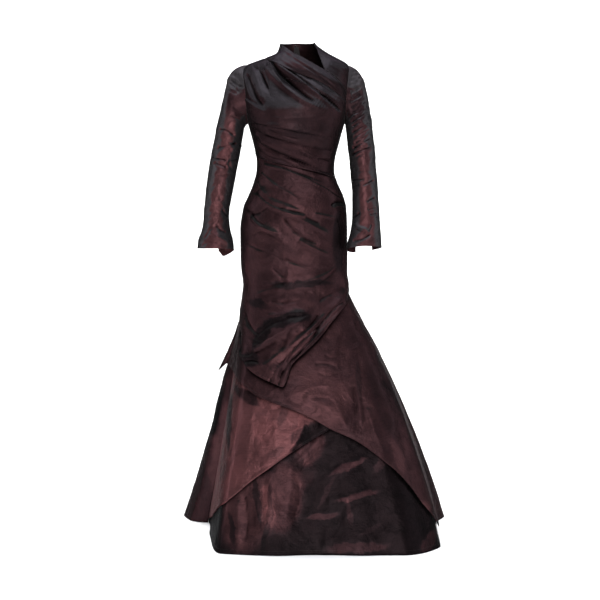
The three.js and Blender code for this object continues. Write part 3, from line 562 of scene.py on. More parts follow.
def taffeta(node, piece):
    # The piece's tone is how much of the weft shows. Set piece by piece, it is also painted light and shade,
    # so each piece is lighter or darker as it is lit.
    # Each patch is x, z, half width, half height (metres), slant (degrees) and how much it adds: painted
    # light above zero, painted shade below.
    # Cloth that tilts up more than lift is painted grey, a painted sheen where the top light would catch the
    # warp.
    look, cloth = taffetaLook, piece["taffeta"]
    toneAndLight, seed, crush = cloth["toneAndLight"], cloth["seed"], cloth.get("crush", 1.0)
    material, add, feed = newMaterial(f"taffeta_{node}")
    place = add("ShaderNodeTexCoord").outputs["Object"]
    offset = (seed, 0.37 * seed, 0.71 * seed)
    shift = add("ShaderNodeMapping", Vector=place, Location=offset).outputs["Vector"]

    # broad uneven tone, as the two threads catch the light, and the patches of painted light and shade with
    # frayed outlines
    broad = add(
        "ShaderNodeTexNoise", Vector=shift, Scale=look["broadScale"],
        Detail=8.0, Roughness=0.64, Distortion=0.4,
    )
    cloudy, speckled = broad.outputs["Fac"], broad.outputs["Color"]
    half = look["patchiness"] / 2
    level = add("ShaderNodeMapRange", cloudy, *look["broadRange"], toneAndLight - half, toneAndLight + half, clamp=False)
    total = level.outputs["Result"]
    fray = add("ShaderNodeMix", data_type="VECTOR", Factor=look["fray"])
    feed(fray.inputs[4], place)
    feed(fray.inputs[5], speckled)
    bent = add("ShaderNodeMix", data_type="VECTOR", Factor=look["bend"])
    feed(bent.inputs[4], shift)
    feed(bent.inputs[5], speckled)
    crinkle = add("ShaderNodeTexVoronoi", Vector=bent.outputs[1], Scale=look["mottleScale"])
    mottle = add("ShaderNodeMapRange", crinkle.outputs["Color"], 0, 1, *look["mottle"]).outputs["Result"]
    # painted light and shade: each patch lightens (amount above zero) or darkens (below zero) the tone,
    # broken up by the mottle
    for x, z, wide, high, slant, amount in piece.get("lightAndShadePatches", ()):
        middle = (lerp(x, 0.5, look["fray"]), 0, lerp(z, 0.5, look["fray"]))
        spot = add("ShaderNodeMapping", vector_type="TEXTURE", Vector=fray.outputs[1], Location=middle)
        spot.inputs["Rotation"].default_value = (0, -math.radians(slant), 0)
        spot.inputs["Scale"].default_value = (wide, 2.0, high)
        glow = add("ShaderNodeTexGradient", gradient_type="SPHERICAL", Vector=spot.outputs["Vector"])
        reach = (0, look["patchEdge"])
        soft = add("ShaderNodeMapRange", glow.outputs["Fac"], *reach, interpolation_type="SMOOTHSTEP")
        broken = add("ShaderNodeMath", soft.outputs["Result"], mottle, operation="MULTIPLY").outputs[0]
        total = add("ShaderNodeMath", broken, amount, total, operation="MULTIPLY_ADD").outputs[0]
    ramp = add("ShaderNodeValToRGB", total)
    marks, tones = ramp.color_ramp.elements, look["tones"]
    marks[0].position, marks[0].color = tones[0][0], (*tones[0][1], 1)
    marks[1].position, marks[1].color = tones[-1][0], (*tones[-1][1], 1)
    for at, colour in tones[1:-1]:
        marks.new(at).color = (*colour, 1)
    # painted sheen: where the cloth tilts up past its lift it turns grey, as the top light would catch the
    # warp there
    tilt = add("ShaderNodeAttribute", attribute_name="tilt").outputs["Fac"]
    uneven = add("ShaderNodeMath", cloudy, look["greyUneven"], tilt, operation="MULTIPLY_ADD").outputs[0]
    middle = cloth["lift"] + look["greyUneven"] / 2
    greyFrom, greyTo = (middle + edge for edge in look["greyEdge"])
    paintedSheenShare = add("ShaderNodeMapRange", uneven, greyFrom, greyTo, interpolation_type="SMOOTHSTEP")
    paintedSheenMix = add("ShaderNodeMix", data_type="RGBA", Factor=paintedSheenShare.outputs["Result"])
    feed(paintedSheenMix.inputs[6], ramp.outputs["Color"])
    feed(paintedSheenMix.inputs[7], (*look[cloth["paintedSheen"]], 1))

    # painted shade: little light reaches the bottom of a fold, the strip under a hem or the inside of the
    # cloth
    relief = add("ShaderNodeAttribute", attribute_name="relief").outputs["Fac"]
    depths = (-look["troughDepth"], look["troughEnd"], look["troughShade"])
    trough = add("ShaderNodeMapRange", relief, *depths, interpolation_type="SMOOTHSTEP").outputs["Result"]
    shaded = add("ShaderNodeVectorMath", paintedSheenMix.outputs[2], operation="SCALE", Scale=trough)

    # fine crosswise slubs of the weft
    uv = add("ShaderNodeUVMap", uv_map="cloth").outputs["UV"]
    slubMap = add("ShaderNodeMapping", Vector=uv, Scale=look["slubs"]["scale"]).outputs["Vector"]
    slub = add("ShaderNodeTexNoise", Vector=slubMap, Scale=1.0, Detail=2.0, Roughness=0.6).outputs["Fac"]
    slubRamp = add("ShaderNodeValToRGB", slub)
    slubRamp.color_ramp.elements[0].color = (*look["slubs"]["dark"], 1)
    for mark, at in zip(slubRamp.color_ramp.elements, look["slubs"]["range"]):
        mark.position = at
    slubTone = add("ShaderNodeMix", data_type="RGBA", blend_type="MULTIPLY", Factor=look["slubs"]["share"])
    feed(slubTone.inputs[6], shaded.outputs[0])
    feed(slubTone.inputs[7], slubRamp.outputs["Color"])

    # facets of the crushed cloth, sharp little crumples, then the weave
    normal = None
    for size, slope in look["facets"]:
        facet = add("ShaderNodeTexVoronoi", Vector=bent.outputs[1], Scale=1000 / size).outputs["Distance"]
        bump = add("ShaderNodeBump", Strength=1.0, Distance=crush * slope * size / 1000, Height=facet)
        if normal:
            feed(bump.inputs["Normal"], normal)
        normal = bump.outputs["Normal"]
    creases = look["creases"]
    crease = add(
        "ShaderNodeTexNoise", Vector=shift, Scale=1000 / cloth.get("creaseSize", creases["size"]),
        Detail=4.0, Roughness=0.55, Distortion=0.2, noise_type="RIDGED_MULTIFRACTAL",
    )
    creased = add(
        "ShaderNodeBump", Strength=creases["strength"], Distance=creases["depth"] * crush,
        Height=crease.outputs["Fac"], Normal=normal,
    )
    threads = look["threads"]
    warp = add("ShaderNodeTexWave", Vector=uv, Scale=threads["warp"], bands_direction="X")
    weft = add("ShaderNodeTexWave", Vector=uv, Scale=threads["weft"], bands_direction="Y")
    weft.inputs["Distortion"].default_value = threads["weftWaver"]
    over = add("ShaderNodeMath", warp.outputs["Fac"], weft.outputs["Fac"], operation="MULTIPLY").outputs[0]
    thread = add("ShaderNodeMath", over, slub, operation="ADD").outputs[0]
    woven = add(
        "ShaderNodeBump", Strength=threads["strength"], Distance=threads["depth"],
        Height=thread, Normal=creased.outputs["Normal"],
    )

    # gloss is uneven where the cloth has been handled, and fades towards the outline
    wear = add("ShaderNodeMapRange", cloudy, *look["broadRange"], *look["roughness"]).outputs["Result"]
    facing = add("ShaderNodeLayerWeight", Blend=0.5).outputs["Facing"]
    metallic = (*look["glossFades"], *look["metallic"])
    gloss = add("ShaderNodeMapRange", facing, *metallic, interpolation_type="SMOOTHSTEP").outputs["Result"]
    surface = add("ShaderNodeBsdfPrincipled", Metallic=gloss, Roughness=wear, Normal=woven.outputs["Normal"])
    feed(surface.inputs["Base Color"], slubTone.outputs[2])
    surface.inputs["Specular IOR Level"].default_value = 0.0
    surface.inputs["Specular Tint"].default_value = (*look["edgeTint"], 1)
    surface.inputs["Sheen Weight"].default_value = look["sheen"]
    surface.inputs["Sheen Roughness"].default_value = look["sheenRoughness"]
    surface.inputs["Sheen Tint"].default_value = (*look["sheenTint"], 1)
    add("ShaderNodeOutputMaterial", Surface=surface.outputs["BSDF"])
    return material


def plainLook(name, look):
    # tape, thread and metal: one colour, worn unevenly
    material, add, feed = newMaterial(name)
    place = add("ShaderNodeTexCoord").outputs["Object"]
    noise = add("ShaderNodeTexNoise", Vector=place, Scale=look["grain"], Detail=3.0, Roughness=0.6)
    speck = noise.outputs["Fac"]
    ramp = add("ShaderNodeValToRGB", speck)
    for mark, share in zip(ramp.color_ramp.elements, (0.7, 1.2)):
        mark.color = (*[share * c for c in look["colour"]], 1)
    smoothest, roughest = look["roughness"] - 0.08, look["roughness"] + 0.1
    worn = add("ShaderNodeMapRange", speck, 0, 1, smoothest, roughest).outputs["Result"]
    bump = add("ShaderNodeBump", Strength=0.3, Distance=0.0002, Height=speck).outputs["Normal"]
    surface = add("ShaderNodeBsdfPrincipled", Metallic=look["metallic"], Roughness=worn, Normal=bump)
    feed(surface.inputs["Base Color"], ramp.outputs["Color"])
    add("ShaderNodeOutputMaterial", Surface=surface.outputs["BSDF"])
    return material


# seams shared by the panels
bandEdges = table(
    "angle low high",
    (-90, 1521, 1568),
    (-60, 1517, 1562),
    (-42, 1509, 1554),
    (-22, 1491, 1542),
    (-8, 1473, 1532),
    (6, 1457, 1520),
    (18, 1444, 1498),
    (28, 1431, 1480),
    (40, 1411, 1460),
    (53, 1392, 1434),
    (67, 1379, 1409),
)
shoulderSeam = table(
    "height angle",
    (1500, 89.9),
    (1512, 84),
    (1525, 78),
    (1538, 74),
    (1552, 70),
    (1566, 66),
)


def bandLow(angle):
    return through(bandEdges, angle, "low")


def bandHigh(angle):
    return through(bandEdges, angle, "high")


def armholeEdge(side, turn):
    # the armhole is an oval: turn 0 is its top, 90 the front, 180 the underarm
    top, low = gown["shoulderHeight"], gown["underarmHeight"]
    height = (top + low) / 2 + (top - low) / 2 * np.cos(np.radians(turn))
    swing = np.sin(np.radians(turn))
    reach = np.where(swing > 0, gown["armholeForward"], gown["armholeBackward"])
    return side * (90 - reach * swing), height


def sideEdge(side, back, count, knots, lastTurn, above=()):
    # Edge up the side seam (knots are heights), round the armhole and over the shoulder
    knots = np.asarray(knots, float)
    step = gown["armholeStep"]
    turns = round((180 - lastTurn) / step)
    total = len(knots) - 1 + turns + len(above)
    j = np.linspace(0, total, count + 1)
    seam = len(knots) - 1
    angle = np.full(j.shape, 90.0) * side
    height = np.interp(j, np.arange(len(knots)), knots)
    onArm = (j > seam) & (j <= seam + turns)
    turn = 180 - (j[onArm] - seam) * step
    armAngle, armHeight = armholeEdge(side, -turn if back else turn)
    angle[onArm], height[onArm] = armAngle, armHeight
    if above:
        past = j > seam + turns
        lastAngle, lastHeight = armholeEdge(side, 0)
        rows = np.array([(lastAngle, lastHeight), *above], float)
        k = j[past] - seam - turns
        angle[past] = np.interp(k, np.arange(len(rows)), rows[:, 0])
        height[past] = np.interp(k, np.arange(len(rows)), rows[:, 1])
    return angle, height


def sideInset(angle):
    return smooth(90 - np.abs(angle), 0, 10) * (1 - smooth(angle, 54, 65))


# draped bodice front
bodice = {
    "columns": 220,
    "rows": 156,
    "waistRoll": 3,
    "greyFrom": (1272, 1310),
    "greyShy": (0.5, -0.09),
    "taffeta": {"toneAndLight": 0.35, "paintedSheen": "paintedSheenPale", "lift": 0.15, "seed": 1.3},
    "folds": [
        (-84, 1500, -8, 1447, 140, 1350, 14, 20, 12),
        (-100, 1492, -24, 1412, 116, 1330, 10, 22, 13),
        (-132, 1482, -117, 1428, -100, 1366, 5, 14, 12.6),
        (-100, 1300, 20, 1280, 130, 1268, 6, 17, 12),
        (-130, 1260, -28, 1216, 92, 1172, 8, 19, 11.4),
        (-124, 1216, -20, 1176, 112, 1136, 8, 18, 12.6),
    ],
    "creases": [
        (-83, 1510, -21, 1434, 78, 1354, -12, 4, 7),
        (-75, 1512, 0, 1442, 109, 1364, 7, 4, 5),
        (-59, 1502, 32, 1432, 141, 1350, -12, 3.8, 6),
        (-41, 1498, 9, 1470, 56, 1438, -6, 3, 4),
        (68, 1400, 112, 1376, 145, 1342, -6, 3.4, 4.5),
        (-132, 1502, -106, 1456, -80, 1406, -5, 2.5, 5),
        (-154, 1466, -130, 1406, -99, 1354, -5, 2.5, 6),
        (-119, 1504, -96, 1436, -75, 1384, -3, 2.5, 4),
        (-91, 1516, -65, 1462, -33, 1412, 4, 4, 6),
        (-169, 1480, -147, 1408, -125, 1362, 3, 4, 4),
        (-164, 1394, -131, 1364, -86, 1334, 5, 3, 7),
        (-164, 1394, -140, 1378, -118, 1360, -3.5, 3, 3),
        (-102, 1324, 7, 1320, 119, 1330, 2.6, 9, 5),
        (-153, 1314, -46, 1288, 110, 1262, -4.5, 3, 6),
        (-145, 1302, -75, 1262, 25, 1234, -4, 3, 6),
        (-145, 1312, -74, 1300, 25, 1278, 3, 5, 5),
        (-129, 1270, -59, 1218, 91, 1164, -7, 3, 7),
        (-106, 1274, -19, 1246, 107, 1220, -3.5, 3, 6),
        (-132, 1286, -58, 1236, 91, 1186, 4, 7, 4),
        (-123, 1230, -50, 1194, 81, 1144, -4.5, 3, 6),
        (-128, 1218, -37, 1168, 94, 1128, -5, 3, 5),
        (-126, 1250, -56, 1206, 75, 1166, 3, 5, 4),
        (-93, 1292, -37, 1266, 13, 1258, -3, 3, 4),
        (51, 1234, 91, 1226, 131, 1230, -3, 3, 4),
        (63, 1200, 94, 1192, 123, 1192, -3, 3, 4),
        (69, 1162, 101, 1154, 124, 1152, -3, 3, 4),
        (31, 1218, 82, 1200, 125, 1206, 2.5, 4, 4),
        (-139, 1502, -119, 1464, -102, 1404, -2.4, 2, 3),
        (-123, 1504, -93, 1462, -80, 1410, -2, 2, 3),
        (-154, 1472, -140, 1420, -114, 1366, -2.4, 2, 3.5),
        (-106, 1502, -75, 1456, -37, 1408, 2, 3, 4),
        (-69, 1500, -36, 1448, 13, 1402, -2.6, 2, 4),
        (0, 1454, 49, 1410, 106, 1366, -2.4, 2, 4),
        (-81, 1488, -44, 1428, 25, 1368, 2, 4, 5),
        (29, 1454, 82, 1416, 138, 1388, 2.2, 3, 3),
    ],
    "lightAndShadePatches": [
        (0.0, -0.30, 0.12, 0.05, -12, 0.10),
    ],
    "crumple": {"seed": 4, "slant": -24, "stretch": 2.6, "waves": [(34, 0.7), (15, 0.25)]},
}


def makeBodiceFront():
    b = bodice
    columns, rows = b["columns"], b["rows"]
    rightTop = float(bandLow(-90))
    shoulder = gown["shoulderHeight"]
    rightKnots = np.linspace(gown["waistRight"], gown["underarmHeight"], 13)
    above = [(-90, (shoulder + rightTop) / 2), (-90, rightTop)]
    rightAngle, rightHeight = sideEdge(-1, False, rows, rightKnots, 0, above)
    leftKnots = np.linspace(gown["waistLeft"], gown["underarmHeight"], 21)
    leftAngle, leftHeight = sideEdge(1, False, rows, leftKnots, 108)
    u = np.linspace(0, 1, columns + 1)[None, :]
    j = np.linspace(0, 1, rows + 1)[:, None]
    angle = lerp(rightAngle[:, None], leftAngle[:, None], u)
    top = bandLow(lerp(-90, leftAngle[-1], u))
    topShare = np.clip((rightTop - top) / (rightTop - leftHeight[-1]), 0, 1)
    height = lerp(rightHeight[:, None], leftHeight[:, None], lerp(u, topShare, j**2))
    seam = lerp(gown["waistRight"], gown["waistLeft"], (angle + 90) / 180)
    roll = b["waistRoll"] * (1 - smooth(height, seam, seam + 14))
    point, normal = onForm(angle, height)
    rise = roll + foldsAt(point, b["folds"])
    rise = sideInset(angle) * (rise + foldsAt(point, b["creases"], True))
    edges = {"left": "seam", "right": "seam", "bottom": "seam", "top": "seam"}
    # painted sheen: the chest above greyFrom turns grey more readily, as the top light falls on it
    return clothPiece(
        "bodice_front", b, point, normal, rise, edges,
        "tops", lerp(*b["greyShy"], smooth(height, *b["greyFrom"])),
    )


# neck band that becomes the collar
band = {
    "columns": 190,
    "rows": 24,
    "swell": 7,
    "taffeta": {"toneAndLight": 0.24, "paintedSheen": "paintedSheenPale", "lift": 0.42, "seed": 2.1},
    "creases": [
        (-44, 1542, 13, 1494, 81, 1448, -1.6, 2, 3),
        (-16, 1520, 50, 1474, 138, 1412, 1.8, 3, 3),
        (13, 1494, 88, 1442, 154, 1390, -1.8, 2, 3),
        (-53, 1514, -19, 1488, 26, 1462, 1.2, 3, 4),
        (95, 1478, 132, 1448, 168, 1418, -2, 2, 2.5),
    ],
    "lightAndShadePatches": [(-0.01, 0.010, 0.07, 0.03, -30, 0.2)],
    "crumple": {"seed": 15, "slant": -32, "stretch": 3.0, "waves": [(26, 0.5), (12, 0.2)]},
}


def makeNeckBand():
    b = band
    end = 90 - gown["armholeForward"]
    angle = np.linspace(-90, end, b["columns"] + 1)[None, :]
    share = np.linspace(0, 1, b["rows"] + 1)[:, None]
    height = lerp(bandLow(angle), bandHigh(angle), share)
    angle = angle + 0 * share
    point, normal = onForm(angle, height)
    lift = smooth(angle, -80, -30) * (1 - smooth(angle, 40, 64))
    cover = sideInset(angle) * np.maximum(foldsAt(point, bodice["folds"]), 0)
    rise = cover * (1 - share) + b["swell"] * lift * np.sin(math.pi * share)
    rise = rise + sideInset(angle) * foldsAt(point, b["creases"], True)
    return clothPiece(
        "neck_band", b, point, normal, rise, hemAtTop, "tops",
    )


# left yoke, grown up into the collar
yoke = {
    "columns": 40,
    "rows": 84,
    "bandAngles": [64, 56, 48, 40, 34, 30],
    "bandGap": 0.4,
    "armholeTurns": [86, 72, 54, 36, 18],
    "shoulderShade": 3,
    "taffeta": {"toneAndLight": 0.34, "paintedSheen": "paintedSheenPale", "lift": 0.2, "seed": 3.4},
    "neckline": [(29, 1486), (28.5, 1500), (32, 1518), (40, 1536), (56, 1558)],
    "crumple": {"seed": 21, "slant": -30, "stretch": 1.8, "waves": [(30, 0.6), (13, 0.2)]},
}


def evenRows(pairs, count):
    # evenly many points along a short table of angles and heights, rounded at its corners
    pairs = np.array(pairs, float)
    key = np.arange(len(pairs), dtype=float)
    rows = {"key": "k", "k": key, "angle": pairs[:, 0], "height": pairs[:, 1]}
    at = np.linspace(0, len(pairs) - 1, count + 1)
    return through(rows, at, "angle"), through(rows, at, "height")


def makeYoke():
    y = yoke
    inner = [(a, float(bandHigh(a)) + y["bandGap"]) for a in y["bandAngles"]] + y["neckline"]
    armAngle, armHeight = armholeEdge(1, np.array(y["armholeTurns"]))
    outer = list(zip(armAngle, armHeight)) + list(zip(shoulderSeam["angle"], shoulderSeam["height"]))
    innerAngle, innerHeight = evenRows(inner, y["rows"])
    outerAngle, outerHeight = evenRows(outer, y["rows"])
    u = np.linspace(0, 1, y["columns"] + 1)[None, :]
    angle = lerp(innerAngle[:, None], outerAngle[:, None], u)
    height = lerp(innerHeight[:, None], outerHeight[:, None], u)
    point, normal = onForm(angle, height)
    edges = {"left": "hem", "right": "seam", "top": "seam", "bottom": "seam"}
    shade = y["shoulderShade"] * smooth(u, 0.8, 1) * smooth(height, 1498, 1512)
    return clothPiece(
        "yoke_left", y, point, normal, 0, edges, "tops", shade=shade,
    )


# back pieces, either side of the zip
torsoBack = {
    "columns": 66,
    "rows": 190,
    "overSkirt": 1.6,
    "greyShy": 0.7,
    "greyFrom": (1330, 1410),
    "left": {
        "taffeta": {"toneAndLight": 0.42, "paintedSheen": "paintedSheenPale", "lift": 0.2, "seed": 5.0},
        "crumple": {"seed": 31, "slant": 16, "stretch": 2.0, "waves": [(38, 0.9), (17, 0.3)]},
        "folds": [
            (18, 1150, 70, 1128, 118, 1120, 5, 9, 14),
            (14, 1196, 64, 1182, 112, 1186, 4, 8, 13),
            (20, 1240, 70, 1222, 124, 1230, 4, 9, 14),
            (26, 1090, 84, 1060, 140, 1052, 5, 11, 18),
            (20, 1010, 80, 974, 150, 968, 4, 12, 20),
            (60, 1330, 110, 1300, 146, 1300, 3, 10, 14),
        ],
    },
    "right": {
        "taffeta": {"toneAndLight": 0.42, "paintedSheen": "paintedSheenPale", "lift": 0.2, "seed": 3.0},
        "crumple": {"seed": 37, "slant": -16, "stretch": 2.0, "waves": [(38, 0.9), (17, 0.3)]},
        "folds": [
            (-116, 1140, -70, 1122, -16, 1136, 5, 9, 14),
            (-114, 1192, -60, 1170, -14, 1184, 4, 8, 13),
            (-126, 1236, -72, 1216, -20, 1226, 4, 9, 14),
            (-142, 1078, -84, 1050, -24, 1062, 5, 11, 18),
            (-152, 984, -84, 956, -22, 972, 4, 12, 20),
            (-148, 1310, -104, 1296, -56, 1318, 3, 10, 14),
        ],
    },
}


def makeTorsoBack(name):
    t, look = torsoBack, torsoBack[name]
    side = 1 if name == "left" else -1
    knots = [800, 825, 850, *np.linspace(850, gown["underarmHeight"], 14)[1:]]
    if side > 0:
        above = list(zip(shoulderSeam["angle"][1:], shoulderSeam["height"][1:]))
    else:
        above = [(-90, h) for h in shoulderSeam["height"][1:]]
    edgeAngle, edgeHeight = sideEdge(side, True, t["rows"], knots, 0, above)
    u = np.linspace(0, 1, t["columns"] + 1)[None, :]
    angle = lerp(edgeAngle[:, None], side * 179.97, u)
    height = edgeHeight[:, None] + 0 * u
    lastRow = smooth(edgeHeight[:, None], shoulderSeam["height"][-2], shoulderSeam["height"][-1])
    collar = gown["collarHeight"] - gown["collarDip"] * (1 - u)
    height = lerp(height, collar, lastRow)
    point, normal = onForm(angle, height)
    rise = t["overSkirt"] * (1 - smooth(height, 850, 900))
    inset = smooth(np.abs(angle) - 90, 0, 12) * smooth(180 - np.abs(angle), 1, 14)
    rise = rise + inset * foldsAt(point, look["folds"], True)
    # painted sheen: the back turns grey more readily above greyFrom, where the top light falls
    return clothPiece(
        f"torso_back_{name}", look, point, normal, rise, hemAtTop,
        "tops", t["greyShy"] * (1 - smooth(height, *t["greyFrom"])),
    )


# hip drape with its swag
drapeHem = table(
    "angle height",
    (-90, 735),
    (-75, 702),
    (-65, 655),
    (-60, 612),
    (-51, 583),
    (-43, 551),
    (-32, 523),
    (-21, 503),
    (-15, 494),
    (-7.5, 560),
    (5, 601),
    (17, 638),
    (32, 688),
    (47, 730),
    (68, 776),
    (90, 800),
)
drape = {
    "columns": 184,
    "rows": 206,
    "hipBlouse": 4,
    "skirtBlouse": 7,
    "hemPuff": {"rise": 9, "wave": 4, "waves": 9, "above": 20, "reach": 26},
    "taffeta": {"toneAndLight": 0.5, "paintedSheen": "paintedSheenDeep", "lift": 0.13, "seed": 5.2},
    "folds": [
        (-112, 1180, 8, 1130, 132, 1080, 3, 24, 20),
        (-124, 1102, -60, 1050, 50, 1022, 5, 26, 18),
        (-60, 1030, 10, 976, 112, 920, 4, 28, 20),
        (-130, 1010, -60, 950, 30, 905, 3, 34, 24),
        (-140, 604, -60, 670, 50, 704, 8, 34, 26),
        (-86, 520, -12, 600, 60, 676, 8, 26, 22),
    ],
    "creases": [
        (-107, 1180, 3, 1146, 153, 1068, 6, 5, 3),
        (41, 1132, 95, 1104, 149, 1074, -4, 2.5, 3),
        (-122, 1200, -19, 1162, 107, 1120, -3.5, 2.5, 4),
        (-110, 1154, -84, 1132, -53, 1106, 3.5, 4, 3),
        (-103, 1132, -41, 1100, 12, 1066, 3, 5, 5),
        (-120, 1130, -106, 1100, -87, 1082, 2.5, 3, 3),
        (-131, 1104, -68, 1050, 38, 1026, -6, 3, 4),
        (-126, 1092, -53, 1038, 51, 1018, 6, 3, 6),
        (-87, 1082, -31, 1060, 25, 1034, -2.5, 4, 6),
        (-161, 1048, -135, 1026, -100, 1034, -3.5, 2.5, 4),
        (-107, 1032, -94, 1040, -81, 1050, -3, 2.5, 3),
        (-142, 1020, -105, 984, -43, 962, 6, 7, 3),
        (-141, 1028, -118, 1004, -93, 988, -4, 2.5, 2.5),
        (-49, 1034, 28, 1000, 120, 948, 6, 9, 5),
        (-41, 1016, 10, 962, 82, 932, -4.2, 3, 4),
        (7, 944, 53, 920, 120, 890, 4.5, 7, 5),
        (25, 1022, 50, 1006, 75, 996, -3, 3, 3),
        (51, 1024, 94, 1018, 132, 1010, 2.5, 4, 5),
        (-134, 954, -96, 968, -37, 926, -2.2, 3, 5),
        (-164, 940, -75, 898, 47, 854, -1.8, 2.5, 3),
        (-74, 860, -55, 838, -28, 828, -2.6, 3, 3),
        (-37, 888, 0, 870, 50, 856, -2, 3, 4),
        (-43, 820, 44, 816, 135, 868, 4, 6, 6),
        (-126, 768, -38, 794, 95, 790, 3, 6, 4),
        (-87, 800, -12, 812, 69, 810, -2.5, 4, 4),
        (69, 806, 107, 834, 133, 862, -2.4, 2.5, 3),
        (110, 1050, 132, 1064, 156, 1058, -5, 2.5, 3),
        (116, 1042, 135, 1050, 154, 1046, 3, 3, 3),
        (129, 1010, 142, 970, 139, 912, -2.5, 4, 4),
        (-93, 708, -22, 714, 54, 724, 4, 9, 3),
        (-127, 630, -65, 686, 31, 710, -3.5, 5, 6),
        (-139, 606, -52, 656, 47, 714, 6, 5, 9),
        (69, 716, 44, 680, -5, 644, -4, 2.2, 3),
        (88, 716, 31, 658, -80, 568, 5, 5, 4),
        (75, 676, 17, 632, -83, 526, -4.5, 2.2, 4),
        (145, 752, 97, 710, 35, 620, -6, 2.2, 3),
        (132, 722, 69, 652, 12, 598, 4, 2.5, 3),
        (63, 662, 29, 616, -49, 538, -5.5, 2, 3),
        (165, 766, 84, 668, -21, 558, 3.5, 3, 2),
        (-37, 550, -47, 522, -51, 496, -4.5, 2, 2.5),
        (-59, 552, -71, 520, -89, 496, -3, 2, 3),
        (-178, 684, -169, 636, -166, 588, -8, 3, 3),
        (-157, 718, -137, 676, -103, 646, -4, 2.5, 4),
        (-178, 556, -142, 570, -102, 560, -4, 2.5, 3),
        (-172, 590, -146, 580, -121, 602, 3, 4, 4),
        (-104, 554, -74, 574, -27, 620, 3.5, 5, 5),
        (-152, 586, -104, 604, -49, 640, -2.5, 4, 5),
        (-82, 756, -40, 748, 12, 760, -2.5, 4, 4),
        (69, 750, 94, 768, 120, 780, -3, 2.5, 3),
    ],
    "lightAndShadePatches": [
        (-0.025, -0.588, 0.135, 0.120, 0, 0.05),
        (0.013, -0.468, 0.090, 0.024, -12, 0.07),
        (0.132, -0.556, 0.021, 0.120, 0, -0.25),
        (-0.158, -0.698, 0.018, 0.090, 0, 0.06),
        (-0.106, -0.848, 0.066, 0.018, 56, -0.42),
        (-0.028, -0.802, 0.081, 0.021, 10, -0.42),
        (0.016, -0.694, 0.114, 0.015, 2, -0.3),
        (-0.149, -0.922, 0.033, 0.024, 0, -0.35),
        (-0.119, -0.756, 0.039, 0.015, -22, -0.3),
        (-0.013, -0.884, 0.102, 0.027, 40, 0.22),
        (-0.031, -0.762, 0.102, 0.021, 4, 0.14),
        (0.109, -0.800, 0.060, 0.021, 55, 0.1),
        (-0.106, -0.964, 0.054, 0.024, -20, 0.1),
    ],
    "crumple": {"seed": 41, "slant": -14, "stretch": 2.2, "waves": [(40, 0.9), (18, 0.4), (8, 0.15)]},
}


def makeHipDrape():
    d = drape
    u = np.linspace(0, 1, d["columns"] + 1)[None, :]
    j = np.linspace(0, 1, d["rows"] + 1)[:, None]
    angle = lerp(-90, 90, u) + 0 * j
    hem = through(drapeHem, angle, "height")
    seam = lerp(gown["waistRight"], gown["waistLeft"], u)
    height = lerp(hem, seam, j)
    point, normal = onForm(angle, height)
    front = smooth(angle, -84, -50)
    blouse = d["hipBlouse"] * (1 - smooth(height, 780, 845))
    blouse = blouse + d["skirtBlouse"] * front * (1 - smooth(height, 620, 800))
    puff = d["hemPuff"]
    edge = np.exp(-(((height - hem - puff["above"]) / puff["reach"]) ** 2))
    wave = puff["rise"] + puff["wave"] * np.sin(np.radians(angle * puff["waves"]))
    gathers = edge * wave * smooth(angle, -30, -5) * (1 - smooth(angle, 70, 90))
    inset = smooth(90 - np.abs(angle), 0, 10)
    rise = blouse + gathers + inset * (foldsAt(point, d["folds"]) + foldsAt(point, d["creases"], True))
    edges = {"left": "seam", "right": "seam", "bottom": "hem", "top": "seam"}
    return clothPiece(
        "hip_drape", d, point, normal, rise, edges,
    )


